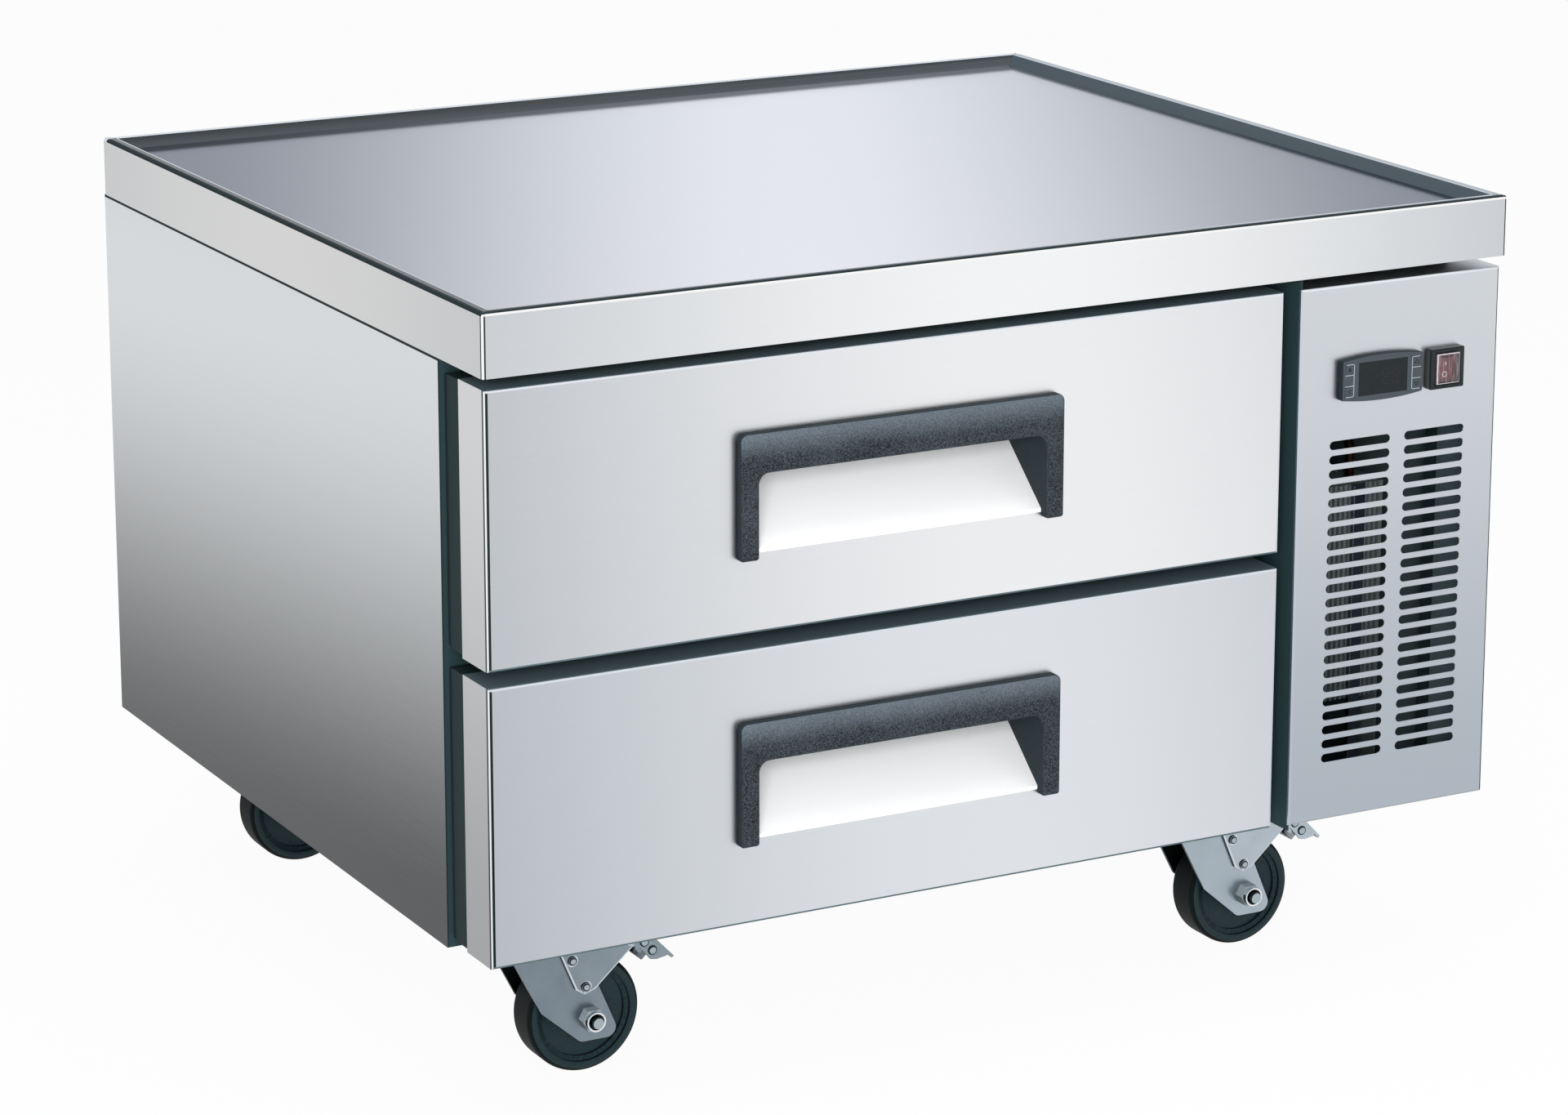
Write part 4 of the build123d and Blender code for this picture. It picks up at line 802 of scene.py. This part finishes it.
def dress_fork(corner):
    """Split a caster's fork into frame, brake plates, brake pin and axle, each in its own metal."""
    node = f"caster_fork_{corner}"
    axle = middle(f"caster_wheel_{corner}")
    merged_copy(node)
    bpy.ops.object.mode_set(mode="EDIT")
    bpy.ops.mesh.separate(type="LOOSE")
    bpy.ops.object.mode_set(mode="OBJECT")
    crown_z = axle.z + CROWN_UP

    def off_wheel(place):
        """How far a place is to the front or back of the wheel's middle."""
        return abs(place.y - axle.y)

    def outward(normal, place):
        """A face that looks away from the wheel."""
        return (place.y - axle.y) * normal.y > 0

    def outer(normal, place):
        """A flat face that looks away from the wheel."""
        return abs(normal.y) > STRAIGHT and outward(normal, place)

    def rounded(normal):
        """A face of a rounded edge between a flat face and a side."""
        return 0.2 < abs(normal.y) < STRAIGHT

    def on_flat(normal):
        """One of the six sides of the bolt's nut and head, and not the bend between two."""
        turn = atan2(normal.z, normal.x) / HEX_SIDE + HEX_TURN
        return abs(normal.y) < 0.1 and abs(turn - round(turn)) < 0.06

    # Painted highlights on rounded outer edges, painted shade on inner and side faces; the nut's
    # upper facets painted lit and its others shaded
    edge_region = (zinc_edge_highlight, lambda n, c: rounded(n) and outward(n, c) and c.z < crown_z)
    shade_region = (zinc_dark, lambda n, c: True)
    frame_regions = [(zinc, outer), edge_region, (zinc, lambda n, c: c.z > crown_z), shade_region]
    brake_regions = [(zinc_pale, outer), edge_region, shade_region]
    pin_regions = [(rivet_steel, outer), edge_region, shade_region]
    axle_regions = [
        (rivet_steel, lambda n, c: abs(n.y) > STRAIGHT and off_wheel(c) > BOLT_END_OUT),
        (zinc_edge_highlight, lambda n, c: rounded(n) and off_wheel(c) > HEX_OUT),
        (nut_lit_facet, lambda n, c: abs(n.y) > STRAIGHT and off_wheel(c) > HEX_OUT),
        (nut_lit_facet, lambda n, c: on_flat(n) and n.z > 0.2 and off_wheel(c) > HEX_OUT),
        (nut_dark, lambda n, c: on_flat(n) and off_wheel(c) > HEX_OUT),
        shade_region,
    ]
    for number, part in enumerate(list(bpy.context.selected_objects)):
        width, depth, height = part.dimensions
        if height > FRAME_HEIGHT:
            part.name, edge, regions = f"fork_frame_{corner}", 0.8 * MM, frame_regions
        elif depth > AXLE_LENGTH:
            part.name, edge, regions = f"axle_bolt_{corner}", 0.5 * MM, axle_regions
            narrow_end(part, axle)
        elif width > BRAKE_WIDTH:
            part.name, edge, regions = f"brake_plate_{corner}_{number}", 0.2 * MM, brake_regions
            bright_border(part, axle)
        else:
            part.name, edge, regions = f"brake_pin_{corner}", 0.6 * MM, pin_regions
        with_bevel(part, edge)
        shade(part)
        paint_regions(part, regions)
        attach(part, body_of[node])
        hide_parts(node)


def bright_border(plate, axle):
    """Raise the middle of a brake plate's outer face, so that its border catches the light."""
    pick(plate)
    outside = max(abs(vertex.co.y - axle.y) for vertex in plate.data.vertices) - RIVET_HEAD
    for face in plate.data.polygons:
        away = (face.center.y - axle.y) * face.normal.y > 0 and abs(face.normal.y) > STRAIGHT
        face.select = away and abs(abs(face.center.y - axle.y) - outside) < 0.1 * MM
    bpy.ops.object.mode_set(mode="EDIT")
    bpy.ops.mesh.select_mode(type="FACE")
    bpy.ops.mesh.inset(thickness=PLATE_BORDER, depth=PLATE_RAISED)
    bpy.ops.object.mode_set(mode="OBJECT")


def narrow_end(bolt, axle):
    """Narrow the threaded end of the axle bolt."""
    pick(bolt)
    for vertex in bolt.data.vertices:
        vertex.select = vertex.co.y < axle.y - THREAD_OUT
    bpy.ops.object.mode_set(mode="EDIT")
    bpy.ops.mesh.select_mode(type="VERT")
    bpy.ops.transform.resize(value=(THREAD_SHARE, 1, THREAD_SHARE), center_override=axle[:])
    bpy.ops.object.mode_set(mode="OBJECT")


def middle(name):
    """Middle of a CAD node's box."""
    low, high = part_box(name)
    return (low + high) / 2


def turned(x, y, z, radius, length):
    """A round bar along Y, ready in edit mode with its front face selected."""
    deselect()
    bpy.ops.mesh.primitive_cylinder_add(
        vertices=ROUND_SIDES, radius=radius, depth=length, location=(x, y, z),
        rotation=FACING_FRONT,
    )
    piece = bpy.context.object
    settle(piece)
    bpy.ops.object.mode_set(mode="EDIT")
    bpy.ops.mesh.select_mode(type="FACE")
    bpy.ops.mesh.select_all(action="DESELECT")
    bpy.ops.object.mode_set(mode="OBJECT")
    for face in piece.data.polygons:
        face.select = face.normal.y < -0.9
    bpy.ops.object.mode_set(mode="EDIT")
    return piece


def lock_collar(corner):
    """Round collar of the lock nut, with the bolt's end inside it."""
    node = f"caster_fork_{corner}"
    axle = middle(f"caster_wheel_{corner}")
    piece = turned(axle.x, axle.y - COLLAR_OUT, axle.z, COLLAR_RADIUS, COLLAR_LENGTH)
    bpy.ops.mesh.inset(thickness=COLLAR_WALL, depth=0)
    bpy.ops.mesh.extrude_region_move(TRANSFORM_OT_translate={"value": (0, COLLAR_DEPTH, 0)})
    bpy.ops.object.mode_set(mode="OBJECT")
    recalculated(piece)
    with_bevel(piece, COLLAR_EDGE)
    shade(piece)

    def from_axis(place):
        """How far a place is from the axle's middle line."""
        return ((place.x - axle.x) ** 2 + (place.z - axle.z) ** 2) ** 0.5

    face_y = axle.y - COLLAR_OUT - COLLAR_LENGTH / 2 + COLLAR_FACE
    # A painted highlight round the face, chrome on the upper faces and painted shade on the rest
    paint_regions(piece, [
        (white_highlight_and_mark, lambda n, c: n.y < -0.3 and c.y < face_y and from_axis(c) > COLLAR_RING_FROM),
        (chrome, lambda n, c: from_axis(c) > COLLAR_SIDE_FROM and n.z > 0.3),
        (zinc_dark, lambda n, c: True),
    ])
    new_piece(piece, f"lock_collar_{corner}", body_of[node], None)


def domed_rivet(x, y, z, radius, rise):
    """A domed head in a ring painted as shade, on a face that looks to the front."""
    ring = turned(x, y - rise * RING_RISE / 2, z, radius * RING_SIZE, rise * RING_RISE)
    bpy.ops.object.mode_set(mode="OBJECT")
    with_bevel(ring, rise * 0.1)
    paint(ring, zinc_dark)
    head = turned(x, y - rise / 2, z, radius, rise)
    bpy.ops.mesh.inset(thickness=radius * 0.35, depth=0)
    bpy.ops.object.mode_set(mode="OBJECT")
    with_bevel(head, rise * 0.5, 3)
    shade(head, 50)
    paint(head, rivet_steel)
    return [ring, head]


def riveted(name, body, axle, face_y, places, size):
    """Domed rivets on one face, at places to the right of and above the wheel's middle."""
    rivets = []
    for x, z in places:
        rivets += domed_rivet(axle.x + x, face_y, axle.z + z, *size)
    joined(rivets, name, body, None)


for corner in ("front_left", "front_right", "rear_left", "rear_right"):
    # Black wheel faces, with the tread painted darker as shade
    dress(f"caster_wheel_{corner}", f"wheel_{corner}", None, regions=[
        (wheel_black, lambda n, c: abs(n.y) > 0.9),
        (tread_shade, lambda n, c: True),
    ])
    dress_fork(corner)
    lock_collar(corner)

# The two front casters have a brake
for corner in ("front_left", "front_right"):
    axle = middle(f"caster_wheel_{corner}")
    pedal_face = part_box(f"brake_pedal_{corner}")[0].y
    # Painted highlight on the pedal's upper faces and painted shade on its sides
    dress(f"brake_pedal_{corner}", f"pedal_{corner}", None, regions=[
        (zinc_pale, lambda n, c: abs(n.y) > STRAIGHT),
        (zinc_edge_highlight, lambda n, c: n.z > 0.3),
        (zinc_dark, lambda n, c: True),
    ])
    pedal, fork = body_of[f"brake_pedal_{corner}"], body_of[f"caster_fork_{corner}"]
    riveted(f"pedal_rivets_{corner}", pedal, axle, pedal_face, PEDAL_RIVETS, PEDAL_RIVET)
    riveted(f"plate_rivets_{corner}", fork, axle, axle.y - PLATE_OUT, PLATE_RIVETS, PLATE_RIVET)

# Small pieces on the controller, the switch and the worktop

CELL = 9.2 * MM
CELL_CORNER = 1.6 * MM
CELL_LINE = 0.6 * MM
LINE_RISE = 0.12 * MM


def bar(x, z, length, width, angle, y, depth):
    """A flat bar on a face that looks to the front, turned by angle from level."""
    deselect()
    bpy.ops.mesh.primitive_cube_add(size=1, location=(0, 0, 0))
    piece = bpy.context.object
    piece.scale = (length, depth, width)
    settle(piece)
    with_bevel(piece, min(width, depth) * 0.3)
    piece.rotation_euler = (0, -radians(angle), 0)
    piece.location = (x, y, z)
    settle(piece)
    return piece


def column_bracket(x, z, width, height, y, open_side):
    """A thin raised line round one column of cells on the controller's face, open on one side."""
    deselect()
    bpy.ops.mesh.primitive_plane_add(size=1, location=(x, y, z), rotation=FACING_FRONT)
    piece = bpy.context.object
    piece.scale = (width, height, 1)
    settle(piece)
    bpy.ops.object.mode_set(mode="EDIT")
    bpy.ops.mesh.select_all(action="SELECT")
    bpy.ops.mesh.bevel(offset=CELL_CORNER, segments=4, affect="VERTICES")
    bpy.ops.mesh.select_mode(type="FACE")
    bpy.ops.mesh.select_all(action="SELECT")
    bpy.ops.mesh.inset(thickness=CELL_LINE, depth=0)
    bpy.ops.mesh.delete(type="FACE")
    bpy.ops.object.mode_set(mode="OBJECT")
    for face in piece.data.polygons:
        face.select = (face.center.x - x) * open_side > width * 0.4
    bpy.ops.object.mode_set(mode="EDIT")
    bpy.ops.mesh.delete(type="FACE")
    bpy.ops.mesh.select_all(action="SELECT")
    bpy.ops.mesh.extrude_region_move(TRANSFORM_OT_translate={"value": (0, -LINE_RISE, 0)})
    bpy.ops.object.mode_set(mode="OBJECT")
    recalculated(piece)
    return piece


case_y = case_low.y
case_z = (case_low.z + case_high.z) / 2
lines = []
for name, open_side in (("key_defrost", -1), ("key_up", 1)):
    x = middle(name).x
    lines.append(column_bracket(x, case_z, CELL, 3 * CELL, case_y, open_side))
    for z in (case_z - CELL / 2, case_z + CELL / 2):
        lines.append(bar(x, z, CELL - CELL_LINE, CELL_LINE, 0, case_y, LINE_RISE))
joined(lines, "controller_cell_lines", "cabinet", line_pale)

STROKE = 0.6 * MM
STROKE_RISE = 0.1 * MM


def key_mark(name, strokes):
    """The mark on a key, from strokes as (x, z, length, angle), in millimetres from its middle."""
    low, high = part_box(name)
    centre = (low + high) / 2
    pieces = [
        bar(centre.x + x * MM, centre.z + z * MM, length * MM, STROKE, angle, low.y, STROKE_RISE)
        for x, z, length, angle in strokes
    ]
    return joined(pieces, f"{name}_mark", name, mark_dark)


key_mark("key_defrost", [(0, 0, 4.4, 0), (0, 0, 4.4, 60), (0, 0, 4.4, 120)])
key_mark("key_set", [(0, 1.3, 3.4, 0), (0, -1.3, 3.4, 0), (0, 0, 2.2, 0)])
key_mark("key_up", [(-1.1, 0.3, 3.6, 52), (1.1, 0.3, 3.6, -52), (0, -1.2, 4.4, 0)])
key_mark("key_down", [(-1.1, -0.3, 3.6, -52), (1.1, -0.3, 3.6, 52), (0, 1.2, 4.4, 0)])

# Unlit digits behind the smoked window, each of three level and four upright segments
DIGITS = (3 * MM, 12 * MM)
DIGIT_HALF = (2.8 * MM, 6 * MM)
SEGMENT = (4.2 * MM, 0.8 * MM)
SEGMENT_RISE = 0.06 * MM
glass = middle("controller_window")
glass_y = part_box("controller_window")[0].y
half_wide, half_high = DIGIT_HALF
segments = []
for offset in DIGITS:
    x = glass.x + offset
    for z in (glass.z - half_high, glass.z, glass.z + half_high):
        segments.append(bar(x, z, *SEGMENT, 0, glass_y, SEGMENT_RISE))
    for side in (x - half_wide, x + half_wide):
        for z in (glass.z - half_high / 2, glass.z + half_high / 2):
            segments.append(bar(side, z, *SEGMENT, 90, glass_y, SEGMENT_RISE))
joined(segments, "display_segments", "cabinet", digit_brown)

# Marks on the rocker's face: a ring for off on its lower half, a bar for on on its upper half
ROCKER_Z = 510.3 * MM
RING_DOWN = 6 * MM
BAR_UP = 4 * MM
RING_Y = -389.15 * MM
BAR_Y = -390.5 * MM
BAR_SIZE = (4.2 * MM, 0.7 * MM)
BAR_DEPTH = 0.5 * MM
deselect()
rocker = middle("switch_rocker")
bpy.ops.mesh.primitive_torus_add(
    location=(rocker.x, RING_Y, ROCKER_Z - RING_DOWN), rotation=FACING_FRONT,
    major_radius=2.1 * MM, minor_radius=0.35 * MM, major_segments=32, minor_segments=8,
)
ring = bpy.context.object
settle(ring)
on_bar = bar(rocker.x, ROCKER_Z + BAR_UP, *BAR_SIZE, 90, BAR_Y, BAR_DEPTH)
joined([ring, on_bar], "rocker_marks", "switch_rocker", white_highlight_and_mark)

# Welded mitres at the corners of the worktop's raised edge
WELD_SIZE = (RIM * 1.15, 0.6 * MM, 0.2 * MM)
WELD_IN = RIM * 0.56
welds = []
for x, y, angle in (
    (top_low.x, top_low.y, 45), (top_high.x, top_low.y, 135),
    (top_low.x, top_high.y, -45), (top_high.x, top_high.y, -135),
):
    deselect()
    bpy.ops.mesh.primitive_cube_add(size=1, location=(0, 0, 0))
    weld = bpy.context.object
    weld.scale = WELD_SIZE
    settle(weld)
    weld.rotation_euler = (0, 0, radians(angle))
    weld.location = (x - copysign(WELD_IN, x), y - copysign(WELD_IN, y), top_high.z)
    settle(weld)
    with_bevel(weld, 0.05 * MM, 1)
    welds.append(weld)
joined(welds, "worktop_corner_welds", "cabinet", seam_dark)

# End plate of the coil, seen through the slots to the right of its fins
END_PLATE_X = 384.5 * MM
END_PLATE_EDGE = END_PLATE_X + 1 * MM
END_PLATE_GAP = 1 * MM
END_PLATE_WIDTH = 14 * MM
END_PLATE_LIP = 5 * MM
END_PLATE_SHEET = 0.8 * MM
coil_low, coil_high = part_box("condenser_coil")
coil_middle = (coil_low + coil_high) / 2
deselect()
bpy.ops.mesh.primitive_plane_add(size=1, location=(0, 0, 0), rotation=FACING_FRONT)
end_plate = bpy.context.object
end_plate.scale = (END_PLATE_WIDTH, coil_high.z - coil_low.z, 1)
end_plate.location = (
    END_PLATE_X + END_PLATE_WIDTH / 2, coil_low.y - END_PLATE_GAP, coil_middle.z
)
settle(end_plate)
bpy.ops.object.mode_set(mode="EDIT")
bpy.ops.mesh.select_mode(type="EDGE")
bpy.ops.mesh.select_all(action="DESELECT")
bpy.ops.object.mode_set(mode="OBJECT")
for edge in end_plate.data.edges:
    ends = [end_plate.data.vertices[index].co for index in edge.vertices]
    edge.select = all(end.x < END_PLATE_EDGE for end in ends)
bpy.ops.object.mode_set(mode="EDIT")
bpy.ops.mesh.extrude_region_move(TRANSFORM_OT_translate={"value": (0, -END_PLATE_LIP, 0)})
bpy.ops.object.mode_set(mode="OBJECT")
recalculated(end_plate)
wall = end_plate.modifiers.new("sheet", "SOLIDIFY")
wall.thickness = END_PLATE_SHEET
pick(end_plate)
bpy.ops.object.modifier_apply(modifier=wall.name)
with_bevel(end_plate, 0.2 * MM)
# Painted highlight on the plate's left lip
paint_regions(end_plate, [
    (pale_highlight, lambda n, c: c.x < END_PLATE_EDGE),
    (baffle_metal, lambda n, c: True),
])
new_piece(end_plate, "coil_end_plate", "cabinet", None)

# Studio

# Share of the floor's own white in what the camera sees; the rest keeps the object's shadow
FLOOR_WHITE = 0.95
WHITE = (1, 1, 1, 1)

scene = bpy.context.scene
scene.view_settings.view_transform = "Standard"
deselect()
bpy.ops.mesh.primitive_plane_add(size=30, location=(0, 0, 0))
floor = bpy.context.object
floor.name = "studio_floor"
floor_material, floor_tree, floor_shader = blank_material("pale floor")
floor_shader.inputs["Base Color"].default_value = rgb("fbfbfb")
floor_shader.inputs["Roughness"].default_value = 0.9
share = maths(floor_tree, "MULTIPLY", seen_directly(floor_tree), FLOOR_WHITE)
glow = add_node(floor_tree, "ShaderNodeEmission", {"Color": WHITE, "Strength": 1.0})
blend = add_node(
    floor_tree, "ShaderNodeMixShader", {0: share, 1: floor_shader.outputs[0], 2: glow.outputs[0]}
)
floor_tree.links.new(blend.outputs[0], floor_tree.nodes["Material Output"].inputs["Surface"])
paint(floor, floor_material)

world = bpy.data.worlds.new("white studio")
scene.world = world
world.use_nodes = True
sky = world.node_tree
sky.nodes.clear()
soft = add_node(sky, "ShaderNodeBackground", {"Color": (0.95, 0.97, 1, 1), "Strength": 0.4})
white = add_node(sky, "ShaderNodeBackground", {"Color": WHITE, "Strength": 1.0})
both = add_node(
    sky, "ShaderNodeMixShader", {0: seen_directly(sky), 1: soft.outputs[0], 2: white.outputs[0]}
)
add_node(sky, "ShaderNodeOutputWorld", {"Surface": both.outputs[0]})


def soft_box(name, place, turn, size, power):
    """A large soft lamp, which the metal doesn't mirror."""
    deselect()
    angles = [radians(angle) for angle in turn]
    bpy.ops.object.light_add(type="AREA", location=place, rotation=angles)
    lamp = bpy.context.object
    lamp.name = name
    lamp.data.shape = "RECTANGLE"
    lamp.data.size, lamp.data.size_y = size
    lamp.data.energy = power
    lamp.visible_glossy = False


soft_box("lamp_above", (0.2, -0.3, 3.2), (0, 0, 0), (3.0, 2.4), 38)
soft_box("lamp_front", (-1.6, -3.1, 1.2), (83, 0, -28), (1.4, 1.4), 84)
soft_box("lamp_front_left", (-2.6, -2.8, 2.2), (62, 0, -42), (2.0, 2.0), 8)
soft_box("lamp_front_right", (2.6, -2.6, 1.8), (66, 0, 44), (1.8, 1.8), 6)

# Camera at the photograph's angle: this far down from level, and this far round to the left
CAMERA_DOWN = 13.81
CAMERA_ROUND = 28.21
deselect()
bpy.ops.object.camera_add(
    location=(-1.9111, -3.5588, 1.4375),
    rotation=(radians(90 - CAMERA_DOWN), 0, radians(-CAMERA_ROUND)),
)
camera = bpy.context.object
camera.data.sensor_width = 36
camera.data.lens = 111.94
camera.data.shift_y = -0.1
scene.camera = camera
